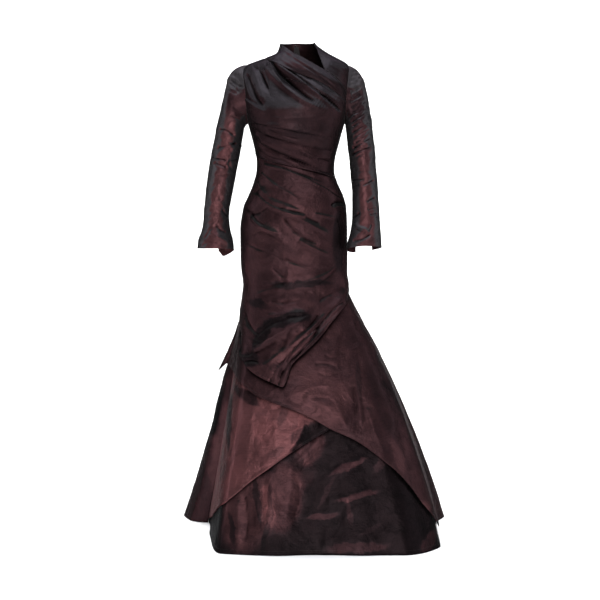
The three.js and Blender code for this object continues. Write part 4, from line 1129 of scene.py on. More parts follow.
# skirt layers
overskirtHem = table(
    "angle height",
    (-105, 517),
    (-90, 544),
    (-72, 530),
    (-47, 496),
    (-32, 462),
    (-10, 427),
    (6, 394),
    (17, 365),
    (34, 328),
    (42, 298),
    (50, 253),
    (56, 194),
    (61, 138),
    (70, 68),
    (84, 20),
    (97, 2),
    (112.5, 0),
)
wrapHem = table(
    "angle height",
    (-90, 14),
    (-73, 62),
    (-58, 118),
    (-43, 162),
    (-29, 228),
    (-13, 287),
    (5, 339),
    (16, 366),
    (34, 410),
    (60, 480),
    (90, 590),
)
skirts = {
    "top": 850,
    "spread": (480, 800),
    "drapeShade": (7, 8),
    "overskirt": {
        "from": -105, "to": 112.5, "columns": 220, "rows": 140,
        "taffeta": {"toneAndLight": 0.5, "paintedSheen": "paintedSheenDeep", "lift": 0.13, "seed": 6.1},
        "lappet": {"rise": 36, "top": 700, "tip": 517, "angle": 104},
        "folds": [
            (186, 700, 250, 520, 330, 330, 8, 34, 20),
            (20, 470, 110, 420, 190, 340, 5, 26, 18),
        ],
        "creases": [
            (182, 498, 181, 454, 188, 394, -2.8, 4, 6),
            (192, 500, 193, 444, 205, 356, 2.5, 7, 4),
            (90, 592, 112, 580, 140, 588, -1.8, 4, 4),
            (59, 558, 94, 562, 134, 550, -1.8, 4, 4),
            (65, 538, 105, 526, 140, 538, -1.5, 4, 4),
            (221, 432, 236, 376, 273, 282, 2.8, 11, 9),
            (200, 470, 215, 400, 259, 300, -1.8, 6, 6),
            (180, 754, 226, 632, 240, 550, -2.5, 6, 8),
            (165, 758, 190, 632, 221, 530, 1.8, 7, 6),
            (250, 602, 292, 448, 355, 228, -3.5, 11, 13),
            (270, 584, 322, 426, 401, 192, 2.5, 10, 10),
            (7, 466, 62, 496, 112, 486, 1.5, 6, 6),
            (25, 450, 75, 460, 135, 436, -1.5, 5, 6),
            (-25, 456, 14, 432, 36, 394, -1.5, 5, 5),
            (-189, 658, -206, 586, -188, 530, -2.2, 6, 6),
            (-164, 520, -119, 468, -71, 450, -2.5, 7, 7),
            (153, 664, 136, 604, 146, 518, -1.5, 8, 8),
            (105, 468, 135, 424, 153, 370, 1.2, 7, 7),
        ],
        "lightAndShadePatches": [
            (0.080, -1.046, 0.102, 0.102, -20, 0.16),
            (0.136, -0.912, 0.042, 0.042, 0, 0.05),
            (0.276, -1.050, 0.039, 0.180, 20, -0.14),
            (0.313, -1.212, 0.018, 0.066, 20, 0.14),
            (0.395, -1.374, 0.027, 0.024, 20, 0.25),
            (-0.141, -1.018, 0.048, 0.021, -25, 0.05),
            (0.197, -0.988, 0.012, 0.072, 5, -0.15),
            (-0.040, -1.070, 0.036, 0.015, -25, -0.12),
        ],
        "crumple": {"seed": 51, "slant": 60, "stretch": 1.5, "waves": [(46, 1.1), (20, 0.5), (9, 0.2)]},
    },
    "wrap": {
        "from": -90, "to": 90, "columns": 150, "rows": 104, "spread": 4,
        "taffeta": {"toneAndLight": 0.9, "paintedSheen": "paintedSheenDeep", "lift": 0.13, "seed": 7.7},
        "creases": [
            (-202, 490, -234, 312, -265, 116, 3, 11, 9),
            (-170, 498, -183, 362, -206, 232, -3.5, 13, 11),
            (-138, 470, -140, 364, -158, 234, 2.2, 9, 9),
            (77, 386, 31, 342, -28, 286, -4.5, 14, 8),
            (32, 394, 3, 336, -33, 286, 3.5, 7, 10),
            (-143, 214, -103, 248, -40, 272, -1.5, 5, 6),
            (-209, 246, -170, 216, -133, 224, 1.5, 6, 6),
            (-107, 454, -78, 424, -31, 438, -2, 6, 6),
            (-103, 358, -92, 318, -53, 300, -1.8, 6, 6),
            (-74, 400, -61, 354, -71, 306, 1.8, 8, 8),
            (-128, 300, -102, 276, -66, 284, 1.5, 5, 6),
        ],
        "lightAndShadePatches": [
            (0.062, -1.138, 0.063, 0.033, 38, -0.8),
            (0.014, -1.180, 0.039, 0.018, 38, -0.6),
            (0.006, -1.136, 0.012, 0.060, -16, 0.3),
            (0.012, -1.152, 0.036, 0.021, 32, -0.45),
            (-0.155, -1.040, 0.054, 0.021, -26, -0.45),
            (-0.212, -1.112, 0.015, 0.108, 6, -0.45),
            (-0.037, -1.094, 0.018, 0.042, -24, -0.25),
            (-0.097, -1.136, 0.042, 0.042, 0, 0.12),
            (-0.179, -1.254, 0.030, 0.060, 0, 0.06),
            (-0.064, -1.200, 0.036, 0.015, 30, -0.12),
        ],
        "crumple": {"seed": 61, "slant": 80, "stretch": 1.6, "waves": [(44, 1.2), (19, 0.6), (9, 0.25)]},
    },
    "under": {
        "from": -90, "to": 90, "columns": 160, "rows": 110, "spread": 6,
        "taffeta": {"toneAndLight": 0.05, "paintedSheen": "paintedSheenDeep", "lift": 0.16, "seed": 8.9},
        "creases": [
            (-136, 186, -118, 132, -111, 86, 3.9, 6, 6),
            (-158, 176, -149, 102, -155, 26, -4.4, 9, 8),
            (-176, 162, -180, 96, -172, 24, 3.9, 7, 7),
            (-40, 162, -48, 76, -16, 8, -3.9, 18, 18),
            (114, 234, 165, 260, 224, 294, 2.5, 4, 6),
            (120, 210, 169, 236, 229, 270, -1.9, 5, 6),
            (130, 158, 181, 170, 240, 186, 2.5, 4, 5),
            (135, 138, 188, 148, 245, 164, -1.9, 5, 5),
            (20, 112, 68, 118, 122, 130, 2.2, 3, 5),
            (148, 130, 150, 98, 162, 72, 1.9, 3, 3),
            (91, 186, 102, 160, 100, 134, 1.9, 3, 3),
            (61, 224, 12, 156, 2, 42, -5, 24, 24),
            (-78, 254, -83, 162, -99, 42, 2.8, 12, 12),
            (-20, 278, -12, 190, -36, 98, 2.2, 10, 10),
            (228, 42, 288, 98, 326, 164, -2.8, 12, 12),
            (73, 32, 148, 46, 227, 30, 2.2, 9, 9),
            (-24, 242, 25, 288, 87, 348, 2.6, 4, 4),
            (11, 236, 50, 292, 96, 330, -2.4, 3, 4),
            (-38, 266, 10, 300, 55, 336, 2.2, 3, 4),
            (-138, 200, -125, 132, -137, 46, -2.6, 4, 6),
            (-84, 230, -71, 162, -88, 76, 2.4, 5, 5),
            (-174, 158, -168, 102, -148, 34, 2.2, 4, 5),
            (1, 218, 12, 160, -18, 92, -2, 5, 6),
            (103, 236, 150, 260, 214, 282, 2.4, 3, 4),
            (113, 160, 168, 170, 239, 190, 2.4, 3, 4),
        ],
        "lightAndShadePatches": [
            (-0.150, -1.374, 0.096, 0.150, -8, 0.54),
            (-0.042, -1.332, 0.078, 0.126, -6, 0.52),
            (-0.084, -1.396, 0.012, 0.132, -8, -0.30),
            (-0.117, -1.340, 0.009, 0.090, 6, -0.30),
            (-0.191, -1.428, 0.009, 0.060, 8, -0.30),
            (0.036, -1.188, 0.072, 0.051, 34, 0.52),
            (0.032, -1.264, 0.036, 0.048, -10, 0.23),
            (0.159, -1.246, 0.072, 0.012, 22, 0.47),
            (0.181, -1.330, 0.081, 0.012, 12, 0.47),
            (0.080, -1.388, 0.057, 0.012, 8, 0.39),
            (0.182, -1.476, 0.120, 0.018, 2, 0.35),
            (0.407, -1.470, 0.042, 0.024, 30, 0.39),
            (0.267, -1.230, 0.060, 0.018, 48, 0.27),
            (0.162, -1.374, 0.009, 0.048, 12, 0.27),
            (0.228, -1.424, 0.048, 0.009, 30, 0.16),
            (0.097, -1.316, 0.009, 0.066, -30, 0.20),
        ],
        "crumple": {"seed": 71, "slant": 74, "stretch": 1.5, "waves": [(48, 1.2), (20, 0.5), (9, 0.2)]},
    },
    "back": {
        "from": 90, "to": 270, "columns": 190, "rows": 124,
        "taffeta": {"toneAndLight": 0.42, "paintedSheen": "paintedSheenDeep", "lift": 0.16, "seed": 9.4},
        "folds": [
            (-170, 740, -236, 400, -318, 20, 12, 24, 32),
            (-62, 720, -88, 380, -128, 12, 13, 28, 36),
            (44, 744, 62, 400, 96, 14, 12, 32, 26),
            (158, 706, 226, 380, 300, 20, 13, 26, 32),
        ],
        "creases": [
            (-120, 700, -150, 520, -196, 300, -4, 6, 9),
            (-20, 640, -26, 420, -44, 220, -4, 8, 6),
            (96, 690, 132, 470, 176, 260, -4, 6, 8),
            (-238, 360, -190, 300, -120, 268, 3, 5, 7),
            (60, 300, 128, 262, 204, 270, 3, 5, 7),
            (-160, 160, -90, 132, -12, 142, -2.5, 4, 6),
            (120, 120, 190, 150, 262, 140, -2.5, 5, 6),
        ],
        "lightAndShadePatches": [
            (-0.20, -1.20, 0.08, 0.24, -16, 0.3),
            (0.02, -1.28, 0.07, 0.22, 4, 0.25),
            (0.23, -1.16, 0.06, 0.26, 18, 0.3),
            (-0.08, -1.05, 0.04, 0.22, -6, -0.25),
            (0.13, -1.36, 0.04, 0.14, 10, -0.25),
            (-0.30, -1.14, 0.05, 0.14, -17, -0.35),
        ],
        "crumple": {"seed": 81, "slant": 84, "stretch": 1.6, "waves": [(66, 2.4), (28, 0.9)]},
    },
}


def spreadShare(height):
    return 1 - smooth(height, *skirts["spread"])


def frontOnly(angle, height):
    # the front's creases fade towards the side seams and where the layers are sewn together
    return (1 - smooth(np.abs(angle), 74, 90)) * (1 - smooth(height, 740, 800))


def layerGrid(look, hem=None):
    # from the layer's loose hem, or the floor, up to the hip
    u = np.linspace(0, 1, look["columns"] + 1)[None, :]
    j = np.linspace(0, 1, look["rows"] + 1)[:, None]
    angle = lerp(look["from"], look["to"], u) + 0 * j
    low = 0 * angle if hem is None else through(hem, angle, "height")
    return angle, lerp(skirts["top"], low, j)


def makeOverskirt():
    s = skirts["overskirt"]
    angle, height = layerGrid(s, overskirtHem)
    point, normal = onForm(angle, height)
    lappet = s["lappet"]
    fall = np.clip((lappet["top"] - height) / (lappet["top"] - lappet["tip"]), 0, 1)
    stand = lappet["rise"] * fall**1.4 * smooth(-angle, 66, lappet["angle"])
    free = 1 - smooth(height, 600, 690)
    rise = -gown["layerPitch"] + stand + free * foldsAt(point, s["folds"])
    rise = rise + frontOnly(angle, height) * foldsAt(point, s["creases"], True)
    edges = {"bottom": "seam", "top": "hem", "left": "hem", "right": "hem"}
    shade = hemShade(angle, height, drapeHem, *skirts["drapeShade"])
    return clothPiece(
        "overskirt", s, point, normal, rise, edges, shade=shade,
    )


def makeInnerLayer(name, node, depth, hem, hemsAbove):
    s = skirts[name]
    angle, height = layerGrid(s, hem)
    point, normal = onForm(angle, height)
    rise = -depth * gown["layerPitch"] - s["spread"] * spreadShare(height)
    rise = rise + frontOnly(angle, height) * foldsAt(point, s["creases"], True)
    shade = 0
    for above in hemsAbove:
        shade = np.maximum(shade, hemShade(angle, height, above))
    return clothPiece(node, s, point, normal, rise, hemAtTop, shade=shade)


def makeSkirtBack():
    s = skirts["back"]
    angle, height = layerGrid(s)
    point, normal = onForm(angle, height)
    tucked = np.clip(1 - smooth(angle, 112, 124) + smooth(angle, 244, 256), 0, 1)
    spread = skirts["wrap"]["spread"] * spreadShare(height)
    rise = -gown["layerPitch"] * (1 + tucked) - tucked * spread
    inset = (1 - smooth(np.abs(angle - 180), 62, 84)) * (1 - smooth(height, 700, 790))
    rise = rise + inset * (foldsAt(point, s["folds"]) + foldsAt(point, s["creases"], True))
    return clothPiece(
        "skirt_back", s, point, normal, rise, hemAtTop,
    )


# sleeves, flared at the cuff with a vent
sleeveTaffeta = {"toneAndLight": 0.8, "paintedSheen": "sleeveGrey", "lift": 0.46, "creaseSize": 18, "crush": 1.5}
sleeves = {
    "top": 1297,
    "capShare": 0.36,  # rows above the underarm, as a share of all rows
    "seamGap": 0.05,
    "columns": 110,
    "rows": 180,
    "seamTurn": 252,
    "headGrey": 0.5,
    "headFrom": (1385, 1470),
    "perTurn": 0.85,  # millimetres of cloth to a degree of turn
    "right": {
        "side": -1,
        "taffeta": {**sleeveTaffeta, "seed": 9.0},
        "frontHem": 917,
        "shoulderReach": 200,
        "shoulderDip": 0.1,
        "capSpread": 0.25,
        "vent": {"turn": 288, "height": 972, "half": 24},
        "hemDrops": table(
            "turn drop",
            (0, 0), (110, 0), (180, 3), (200, 8), (225, 17), (248, 25), (264, 9), (312, 1), (360, 0),
        ),
        "sections": table(
            "height x y wide deep",
            (880, 256, -34, 60, 54),
            (932, 254.5, -32, 57, 50),
            (990, 253.5, -26, 43, 44),
            (1028, 252.5, -21, 40, 44),
            (1105, 243, -11, 43, 50),
            (1200, 227, -3, 46, 55),
            (1297, 209.5, 0, 45, 59),
        ),
        "folds": [
            (20, 1452, 1.8, 7, -0.55, 40),
            (60, 1266, 1.8, 8, -0.5, 44),
            (76, 1222, 2.7, 10, 0.45, 40),
            (64, 1178, 2.7, 9, -0.5, 44),
            (84, 1142, 1.8, 9, -0.3, 36),
            (104, 958, 2.7, 12, -0.6, 44),
        ],
        "creases": [
            (37, 1456, 62, 1438, 77, 1425, -4.5, 2.5, 3.5),
            (38, 1445, 64, 1428, 86, 1406, -4, 2.5, 3.5),
            (37, 1424, 71, 1410, 87, 1402, -2.5, 2.5, 3.5),
            (35, 1470, 55, 1453, 65, 1444, -2.5, 2.5, 3),
            (87, 1367, 108, 1353, 128, 1343, -2.2, 3, 4),
            (82, 1335, 103, 1329, 133, 1317, -2, 3, 4),
            (44, 1295, 80, 1289, 128, 1267, -5, 2.5, 5),
            (52, 1236, 93, 1240, 148, 1257, -4.5, 4, 6),
            (110, 1227, 137, 1236, 184, 1245, 3, 3, 5),
            (-10, 1213, 71, 1200, 105, 1192, -5.5, 2.5, 4),
            (51, 1191, 84, 1179, 115, 1175, -5, 2.5, 4),
            (109, 1191, 141, 1196, 184, 1205, -4, 2.5, 4),
            (110, 1189, 133, 1168, 171, 1150, -4, 3, 5),
            (69, 1149, 98, 1151, 136, 1149, -2.2, 2.5, 3),
            (89, 1080, 100, 1073, 106, 1065, -2, 3, 4),
            (116, 1042, 145, 1025, 182, 1006, -3.5, 3, 4),
            (92, 993, 115, 974, 138, 970, -3.5, 3, 5),
            (69, 976, 99, 951, 151, 933, 4, 4, 6),
            (51, 947, 65, 966, 77, 982, -3, 3, 4),
            (43, 926, 75, 938, 110, 934, -2.5, 3, 4),
            (74, 1259, 101, 1251, 137, 1249, -2, 2.5, 3.5),
        ],
        "lightAndShadePatches": [(-0.17, -0.10, 0.07, 0.10, 0, -0.3)],
        "crumple": {"seed": 91, "slant": 40, "stretch": 1.7, "waves": [(30, 1.2), (13, 0.6)]},
    },
    "left": {
        "side": 1,
        "taffeta": {**sleeveTaffeta, "seed": 11.0},
        "frontHem": 925,
        "shoulderReach": 170,
        "shoulderDip": 0.4,
        "capSpread": 0.16,
        "vent": {"turn": 270, "height": 980, "half": 28},
        "hemDrops": table(
            "turn drop", (0, 4), (90, 0), (150, 6), (190, 15), (242, 21), (300, 13), (360, 4),
        ),
        "sections": table(
            "height x y wide deep",
            (880, 216, -64, 57, 54),
            (925, 216, -58, 55, 50),
            (970, 220, -48, 48, 45),
            (1009, 221.5, -40, 44, 44),
            (1105, 218.5, -21, 41.5, 50),
            (1200, 211.5, -7, 42, 55),
            (1297, 201.5, 0, 43.5, 59),
        ),
        "folds": [
            (60, 1432, 1.8, 8, 0.6, 44),
            (70, 1372, 2.2, 9, 0.6, 46),
            (74, 1312, 2.2, 9, 0.6, 46),
            (70, 1246, 2.2, 10, 0.55, 46),
            (74, 1150, 1.8, 9, 0.35, 40),
            (100, 972, 2.2, 11, -0.4, 40),
        ],
        "creases": [
            (48, 1468, 32, 1479, 5, 1483, -3.5, 2, 2.5),
            (58, 1454, 44, 1465, -11, 1479, -3.5, 2, 2.5),
            (66, 1442, 52, 1452, -13, 1469, -3.5, 2, 3),
            (73, 1430, 61, 1439, 43, 1448, -2.8, 2, 3),
            (85, 1408, 71, 1416, 45, 1431, -4.5, 2, 3.5),
            (93, 1394, 74, 1403, 49, 1415, -3.9, 2, 3.5),
            (102, 1379, 81, 1391, 49, 1406, -5.6, 2.2, 4),
            (110, 1360, 83, 1376, 40, 1394, -3.9, 2.2, 3.5),
            (115, 1344, 83, 1359, 33, 1385, -4.5, 2.2, 4),
            (131, 1328, 91, 1345, -19, 1376, -3.6, 2.2, 3.5),
            (128, 1313, 89, 1328, 25, 1357, -4.5, 2.2, 4),
            (122, 1299, 86, 1313, -19, 1343, -3.6, 2.2, 3.5),
            (128, 1282, 89, 1295, 28, 1322, -4.5, 2.2, 4),
            (124, 1265, 85, 1280, 34, 1303, -3.6, 2.2, 3.5),
            (124, 1248, 83, 1264, 33, 1290, -4.2, 2.2, 4),
            (135, 1233, 90, 1247, 24, 1271, -6.4, 2.4, 5),
            (153, 1210, 93, 1226, 31, 1239, -6.4, 2.4, 5),
            (142, 1197, 108, 1208, 85, 1215, -3.4, 2.4, 4),
            (174, 1128, 120, 1134, 97, 1128, -4.2, 2.4, 4),
            (108, 1114, 76, 1122, 43, 1134, -5.6, 2.4, 4),
            (179, 1107, 138, 1113, 118, 1118, -3.1, 2.4, 3.5),
            (85, 1061, 66, 1072, 45, 1077, -4.2, 2.4, 3.5),
            (82, 1038, 64, 1044, 39, 1048, -3.4, 2.4, 3.5),
            (74, 1023, 58, 1027, 35, 1028, -3.4, 2.4, 3),
            (184, 1008, 139, 1022, 115, 1030, -4.2, 2.4, 4),
            (144, 999, 110, 980, 83, 970, 4.8, 4, 4),
            (83, 970, 72, 981, 65, 997, -4.2, 3, 3.5),
            (139, 943, 104, 947, 66, 967, -4.2, 3, 5),
            (135, 981, 108, 969, 88, 964, -3.1, 2.5, 3),
            (140, 1167, 109, 1161, 86, 1163, -2.8, 2.4, 3.5),
        ],
        "lightAndShadePatches": [(0.165, -0.11, 0.09, 0.14, 0, -0.4)],
        "crumple": {"seed": 97, "slant": 34, "stretch": 1.9, "waves": [(30, 1.1), (13, 0.55)]},
    },
}


def sleeveHem(sleeve, turn):
    return sleeve["frontHem"] - through(sleeve["hemDrops"], np.mod(turn, 360), "drop")


def sleevePoint(sleeve, turn, stage):
    # stage 0 to 1 is the cap from armhole to arm, 1 to 2 the arm down to the hem
    side, sections = sleeve["side"], sleeve["sections"]
    cos, sin = np.cos(np.radians(turn)), np.sin(np.radians(turn))

    def section(height):
        x = through(sections, height, "x") + through(sections, height, "wide") * cos
        y = through(sections, height, "y") - through(sections, height, "deep") * sin
        return np.stack([side * x, y, height + 0 * x], -1)

    arm = section(lerp(sleeves["top"], sleeveHem(sleeve, turn), np.maximum(stage - 1, 0)))
    angle, height = armholeEdge(side, turn)
    gap = lerp(1.2, 0.1, smooth(np.abs(wrapAngle(turn - 180)), 20, 70))
    start = formPoint(angle, height)
    start[..., 0] += side * gap
    tuck = -2.4 * side * (1 - smooth(stage, 0, 0.09))
    end = section(sleeves["top"] + 0 * turn)
    span = np.linalg.norm(end - start, axis=-1)
    top = (1 + cos) / 2
    dip = lerp(0.7, sleeve["shoulderDip"], top)
    reach = lerp(span * 0.8, sleeve["shoulderReach"], top * top) / np.hypot(1, dip)
    leave = np.stack([side * reach, 0 * reach, -dip * reach], -1)
    pull = span * lerp(0.7, 2.2, top)
    arrive = np.stack([side * sleeve["capSpread"] * pull, 0 * pull, -pull], -1)
    t = np.clip(stage, 0, 1)[..., None]
    cap = (
        start * (1 + 2 * t) * (1 - t) ** 2
        + end * t * t * (3 - 2 * t)
        + leave * t * (1 - t) ** 2
        - arrive * t * t * (1 - t)
    )
    cap[..., 0] += tuck
    return np.where((stage >= 1)[..., None], arm, cap)


def makeSleeve(name):
    sleeve = sleeves[name]
    columns, rows = sleeves["columns"], sleeves["rows"]
    j = np.linspace(0, 1, rows + 1)[:, None]
    share = np.linspace(0, 1, columns + 1)[None, :]
    cap = sleeves["capShare"]
    stage = np.where(j < cap, j / cap, 1 + (j - cap) / (1 - cap)) + 0 * share
    height = lerp(sleeves["top"], sleeveHem(sleeve, 270), np.maximum(stage - 1, 0))
    vent = sleeve["vent"]
    opened = np.clip((vent["height"] - height) / (vent["height"] - sleeve["frontHem"]), 0, 1)
    half = lerp(sleeves["seamGap"], vent["half"], opened)
    middle = lerp(sleeves["seamTurn"], vent["turn"], smooth(stage, 1, 1.5))
    turn = lerp(middle + half, middle + 360 - half, share)
    point = sleevePoint(sleeve, turn, stage)
    around = sleevePoint(sleeve, turn + 2, stage) - sleevePoint(sleeve, turn - 2, stage)
    low = np.maximum(stage - 0.02, 0)
    down = sleevePoint(sleeve, turn, np.minimum(low + 0.04, 2)) - sleevePoint(sleeve, turn, low)
    normal = np.cross(around, down) * sleeve["side"]
    normal /= np.linalg.norm(normal, axis=-1, keepdims=True)
    rise = 0
    for at, level, out, wide, slant, reach in sleeve["folds"]:
        turned = wrapAngle(turn - at)
        away = (point[..., 2] - level - slant * turned) / wide
        rise = rise + out * np.exp(-(away**2) - (turned / reach) ** 2)
    rise = rise * smooth(stage, 0.1, 0.5)
    perTurn = sleeves["perTurn"]
    across = perTurn * np.where(turn > 300, turn - 360, turn)
    lines = [
        (perTurn * a, b, perTurn * c, d, perTurn * e, *rest) for a, b, c, d, e, *rest in sleeve["creases"]
    ]
    rise = rise + smooth(stage, 0, 0.08) * foldField(across, point[..., 2], lines, True)
    # painted sheen: the sleeve's sides, and its head more readily, turn grey, as the top and side lights
    # would catch them
    return clothPiece(
        f"sleeve_{name}", sleeve, point, normal, rise, hemAtTop,
        "sides", -sleeves["headGrey"] * smooth(point[..., 2], *sleeves["headFrom"]),
    )


# zip at the centre back
zipLooks = {
    "zip_tape": {"colour": (0.012, 0.0095, 0.0105), "metallic": 0.0, "roughness": 0.75, "grain": 900},
    "zip_slider": {"colour": (0.16, 0.13, 0.12), "metallic": 1.0, "roughness": 0.34, "grain": 420},
    "zip_pull": {"colour": (0.16, 0.13, 0.12), "metallic": 1.0, "roughness": 0.34, "grain": 420},
}


def dressZip():
    for node, look in zipLooks.items():
        material = plainLook(f"look_{node}", look)
        for piece in bpy.data.objects:
            if piece.type == "MESH" and piece.name.split(".")[0] == node:
                for slot in piece.material_slots:
                    slot.material = material


# sewing, zip teeth, hook and eye
sewing = {
    "pitch": 4.2, "length": 2.7, "width": 0.5, "stand": 0.3,
    "thread": {"colour": (0.012, 0.007, 0.008), "metallic": 0.0, "roughness": 0.6, "grain": 600},
    "rows": [
        ("neck_band_cloth", "top", 3),
        ("hip_drape_cloth", "bottom", 7),
        ("overskirt_cloth", "top", 8),
        ("wrap_panel_cloth", "top", 8),
        ("underskirt_front_cloth", "top", 14),
        ("skirt_back_cloth", "top", 14),
        ("sleeve_left_cloth", "top", 9),
        ("sleeve_right_cloth", "top", 9),
        ("torso_back_left_cloth", "top", 3),
        ("torso_back_right_cloth", "top", 3),
    ],
}


def bars(first, last, out, look, sunk=0.15):
    # small raised bars, each from a first to a last point and narrower at its top
    along = last - first
    along /= np.linalg.norm(along, axis=1, keepdims=True)
    side = np.cross(along, out) * look["width"] / 2
    low, high = -sunk * out, look["stand"] * out
    end = along * look["stand"] * 0.6
    corners = [
        first - side + low, first + side + low, last + side + low, last - side + low,
        first - side * 0.5 + high + end, first + side * 0.5 + high + end,
        last + side * 0.5 + high - end, last - side * 0.5 + high - end,
    ]
    points = np.stack(corners, 1).reshape(-1, 3)
    box = np.array([(3, 2, 1, 0), (4, 5, 6, 7), (0, 1, 5, 4), (1, 2, 6, 5), (2, 3, 7, 6), (3, 0, 4, 7)])
    faces = (np.arange(len(first))[:, None, None] * 8 + box).reshape(-1, 4)
    return points, faces.tolist()


def smallPiece(name, points, faces, material, smoothed=False):
    piece = newObject(name, toFrame(points), faces, material)
    for face in piece.data.polygons:
        face.use_smooth = smoothed
    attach(piece, "gown")
    return piece


def makeStitches():
    thread = plainLook("look_thread", sewing["thread"])
    for name, edge, inset in sewing["rows"]:
        points, normal = surfaces[name]
        if edge == "top":
            points, normal = points[::-1], normal[::-1]
        away = runLengths(points)[1]
        columns = range(points.shape[1])
        grids = np.concatenate([points, normal], -1)
        path = np.array([[np.interp(inset, away[:, i], grids[:, i, k]) for k in range(6)] for i in columns])
        steps = np.linalg.norm(np.diff(path[:, :3], axis=0), axis=1)
        run = np.concatenate([[0], np.cumsum(steps)])
        middles = np.arange(sewing["pitch"], run[-1] - sewing["pitch"], sewing["pitch"])
        first, middle, last = (
            np.stack([np.interp(middles + shift, run, path[:, k]) for k in range(6)], 1)
            for shift in (-sewing["length"] / 2, 0, sewing["length"] / 2)
        )
        out = middle[:, 3:] / np.linalg.norm(middle[:, 3:], axis=1, keepdims=True)
        points, faces = bars(first[:, :3], last[:, :3], out, sewing)
        stitches = smallPiece(f"{name}_stitches", points, faces, thread)
        onCloth.setdefault(name, []).append(stitches)
    print("hems stitched")


zipTeeth = {
    "from": 1014, "to": 1546, "pitch": 1.7, "behind": 4.8,
    "outer": 2.0, "inner": -0.5, "width": 0.85, "stand": 0.8,
    "coil": {"colour": (0.03, 0.024, 0.026), "metallic": 0.0, "roughness": 0.4, "grain": 700},
}


def makeZipTeeth():
    z = zipTeeth
    heights = np.arange(z["from"], z["to"], z["pitch"])
    first, last, out = [], [], []
    for side in (-1, 1):
        level = heights + side * z["pitch"] / 4
        normal = formNormal(180 + 0 * level, level)
        middle = formPoint(180 + 0 * level, level) - z["behind"] * normal
        across = np.array([side, 0, 0])
        first.append(middle + across * z["outer"])
        last.append(middle + across * z["inner"])
        out.append(-normal)
    coil = plainLook("look_coil", z["coil"])
    points, faces = bars(np.concatenate(first), np.concatenate(last), np.concatenate(out), z)
    smallPiece("zip_teeth", points, faces, coil)
    print("zip teeth set")


hookAndEye = {
    "height": 1570, "behind": 1.5, "apart": 5.2, "wire": 0.36, "sides": 8, "loop": 1.0,
    "hook": {"side": 1, "bar": 5.6, "nose": 0.55, "bow": 0.8},
    "eye": {"side": -1, "bar": 4.2, "nose": 1.1, "bow": 0},
    "metal": {"colour": (0.05, 0.045, 0.045), "metallic": 0.9, "roughness": 0.35, "grain": 500},
}


def wirePoints(loop, bar, nose):
    # a loop, a long narrow bend and a second loop, drawn flat: x along the bend, z across it
    def turn(x, z, radius, start, sweep, count):
        a = np.radians(np.linspace(start, start + sweep, count))
        return np.stack([x + radius * np.cos(a), z + radius * np.sin(a)], 1)

    return np.concatenate([
        turn(0, nose + loop, loop, 200, -290, 14),
        turn(bar, 0, nose, 90, -180, 9),
        turn(0, -nose - loop, loop, 90, -290, 14),
    ])


def makeHookAndEye():
    h = hookAndEye
    height = np.array([float(h["height"])])
    out = -formNormal(180 + 0 * height, height)[0]
    middle = formPoint(180 + 0 * height, height)[0] + out * h["behind"]
    up = np.cross(out, (1, 0, 0))
    up *= np.sign(up[2])
    metal = plainLook("look_hook", h["metal"])
    sides = h["sides"]
    ring = np.radians(np.arange(sides) * 360 / sides)[None, :, None]
    for name in ("hook", "eye"):
        part = h[name]
        flat = wirePoints(h["loop"], part["bar"], part["nose"])
        x, z = part["side"] * (h["apart"] - flat[:, :1]), flat[:, 1:]
        raised = part["bow"] * smooth(flat[:, :1], 0, 2)
        path = middle + x * np.array([1, 0, 0]) + z * up + (raised + h["wire"]) * out
        along = np.gradient(path, axis=0)
        along /= np.linalg.norm(along, axis=1, keepdims=True)
        across = np.cross(along, out)
        tube = path[:, None] + h["wire"] * (np.cos(ring) * across[:, None] + np.sin(ring) * out)
        last = (len(path) - 1) * sides
        k, m = np.meshgrid(np.arange(len(path) - 1) * sides, np.arange(sides), indexing="ij")
        after = (m + 1) % sides
        faces = np.stack([k + m, k + after, k + sides + after, k + sides + m], -1).reshape(-1, 4).tolist()
        faces += [list(range(sides))[::-1], [last + i for i in range(sides)]]
        smallPiece(f"neck_{name}", tube.reshape(-1, 3), faces, metal, smoothed=True)
    print("hook and eye set")


# camera, light and floor
view = {"x": 0.0128, "y": -4.6, "z": -0.55, "aimZ": -0.748, "lens": 86.33, "sensor": 36, "clip": (0.1, 60)}
studio = {
    "floorColour": (0.95, 0.95, 0.95),
    "floorRoughness": 0.9,
    "world": 0.18,
    "backdrop": {"bend": 1.4, "near": -9.0, "far": 6.6, "wide": 9.0, "tall": 6.0},
    "aim": (0, 0, -0.7),
    "lights": {
        "front": {"at": (0.1, -5.4, 0.2), "size": (1.3, 2.4), "power": 150, "colour": (1.0, 0.95, 0.94)},
        "top": {"at": (0.0, -1.2, 2.6), "size": (2.6, 2.2), "power": 75, "colour": (0.90, 0.93, 1.0)},
        "left": {"at": (-3.6, -0.6, 0.4), "size": (1.4, 3.0), "power": 42, "colour": (0.93, 0.96, 1.0)},
        "right": {"at": (3.6, -0.6, 0.4), "size": (1.4, 3.0), "power": 42, "colour": (0.93, 0.96, 1.0)},
        "back": {
            "at": (0.0, 1.8, 3.8), "size": (6.0, 2.0), "power": 760, "colour": (1.0, 1.0, 1.0),
            "aim": (0, 4.9, -0.4),
        },
    },
}


def aim(thing, target):
    direction = Vector(target) - thing.location
    thing.rotation_euler = direction.to_track_quat("-Z", "Y").to_euler()


def makeCamera():
    data = bpy.data.cameras.new("view")
    data.lens = view["lens"]
    data.sensor_width = view["sensor"]
    data.clip_start, data.clip_end = view["clip"]
    camera = bpy.data.objects.new("view", data)
    camera.location = (view["x"], view["y"], view["z"])
    aim(camera, (view["x"], 0, view["aimZ"]))
    bpy.context.scene.collection.objects.link(camera)
    bpy.context.scene.camera = camera


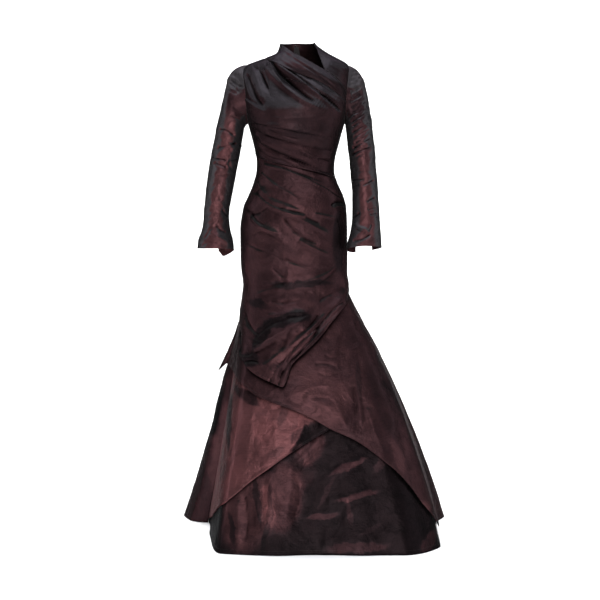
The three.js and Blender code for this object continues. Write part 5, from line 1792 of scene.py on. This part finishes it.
def makeStudio():
    world = bpy.data.worlds.new("studio")
    world.use_nodes = True
    background = world.node_tree.nodes["Background"]
    background.inputs["Color"].default_value = (1, 1, 1, 1)
    background.inputs["Strength"].default_value = studio["world"]
    bpy.context.scene.world = world
    bpy.context.scene.view_settings.view_transform = "Standard"
    for name, look in studio["lights"].items():
        data = bpy.data.lights.new(f"light_{name}", "AREA")
        data.shape = "RECTANGLE"
        data.size, data.size_y = look["size"]
        data.energy = look["power"]
        data.color = look["colour"]
        lamp = bpy.data.objects.new(f"light_{name}", data)
        lamp.location = look["at"]
        aim(lamp, look.get("aim", studio["aim"]))
        bpy.context.scene.collection.objects.link(lamp)

    # floor that curves up into the backdrop
    shape, floorZ = studio["backdrop"], -gown["shoulderHeight"] / 1000
    bend, far, wide = shape["bend"], shape["far"], shape["wide"]
    profile = [(shape["near"], 0.0), (far - bend, 0.0)]
    for a in np.linspace(0.1, math.pi / 2, 14):
        profile.append((far - bend + bend * math.sin(a), bend - bend * math.cos(a)))
    profile.append((far, shape["tall"]))
    points = [(x, y, z + floorZ) for y, z in profile for x in (-wide, wide)]
    faces = [(2 * k, 2 * k + 1, 2 * k + 3, 2 * k + 2) for k in range(len(profile) - 1)]
    paper, add, feed = newMaterial("paper")
    surface = add("ShaderNodeBsdfPrincipled", Roughness=studio["floorRoughness"])
    feed(surface.inputs["Base Color"], (*studio["floorColour"], 1))
    add("ShaderNodeOutputMaterial", Surface=surface.outputs["BSDF"])
    backdrop = newObject("backdrop", points, faces, paper)


def main():
    makeCamera()
    makeBodiceFront()
    makeNeckBand()
    makeYoke()
    makeTorsoBack("left")
    makeTorsoBack("right")
    makeHipDrape()
    makeOverskirt()
    makeInnerLayer("wrap", "wrap_panel", 2, wrapHem, [overskirtHem])
    makeInnerLayer("under", "underskirt_front", 3, None, [overskirtHem, wrapHem])
    makeSkirtBack()
    makeSleeve("left")
    makeSleeve("right")
    dressZip()
    makeStitches()
    makeZipTeeth()
    makeHookAndEye()
    makeStudio()
    print("all pieces dressed")


main()
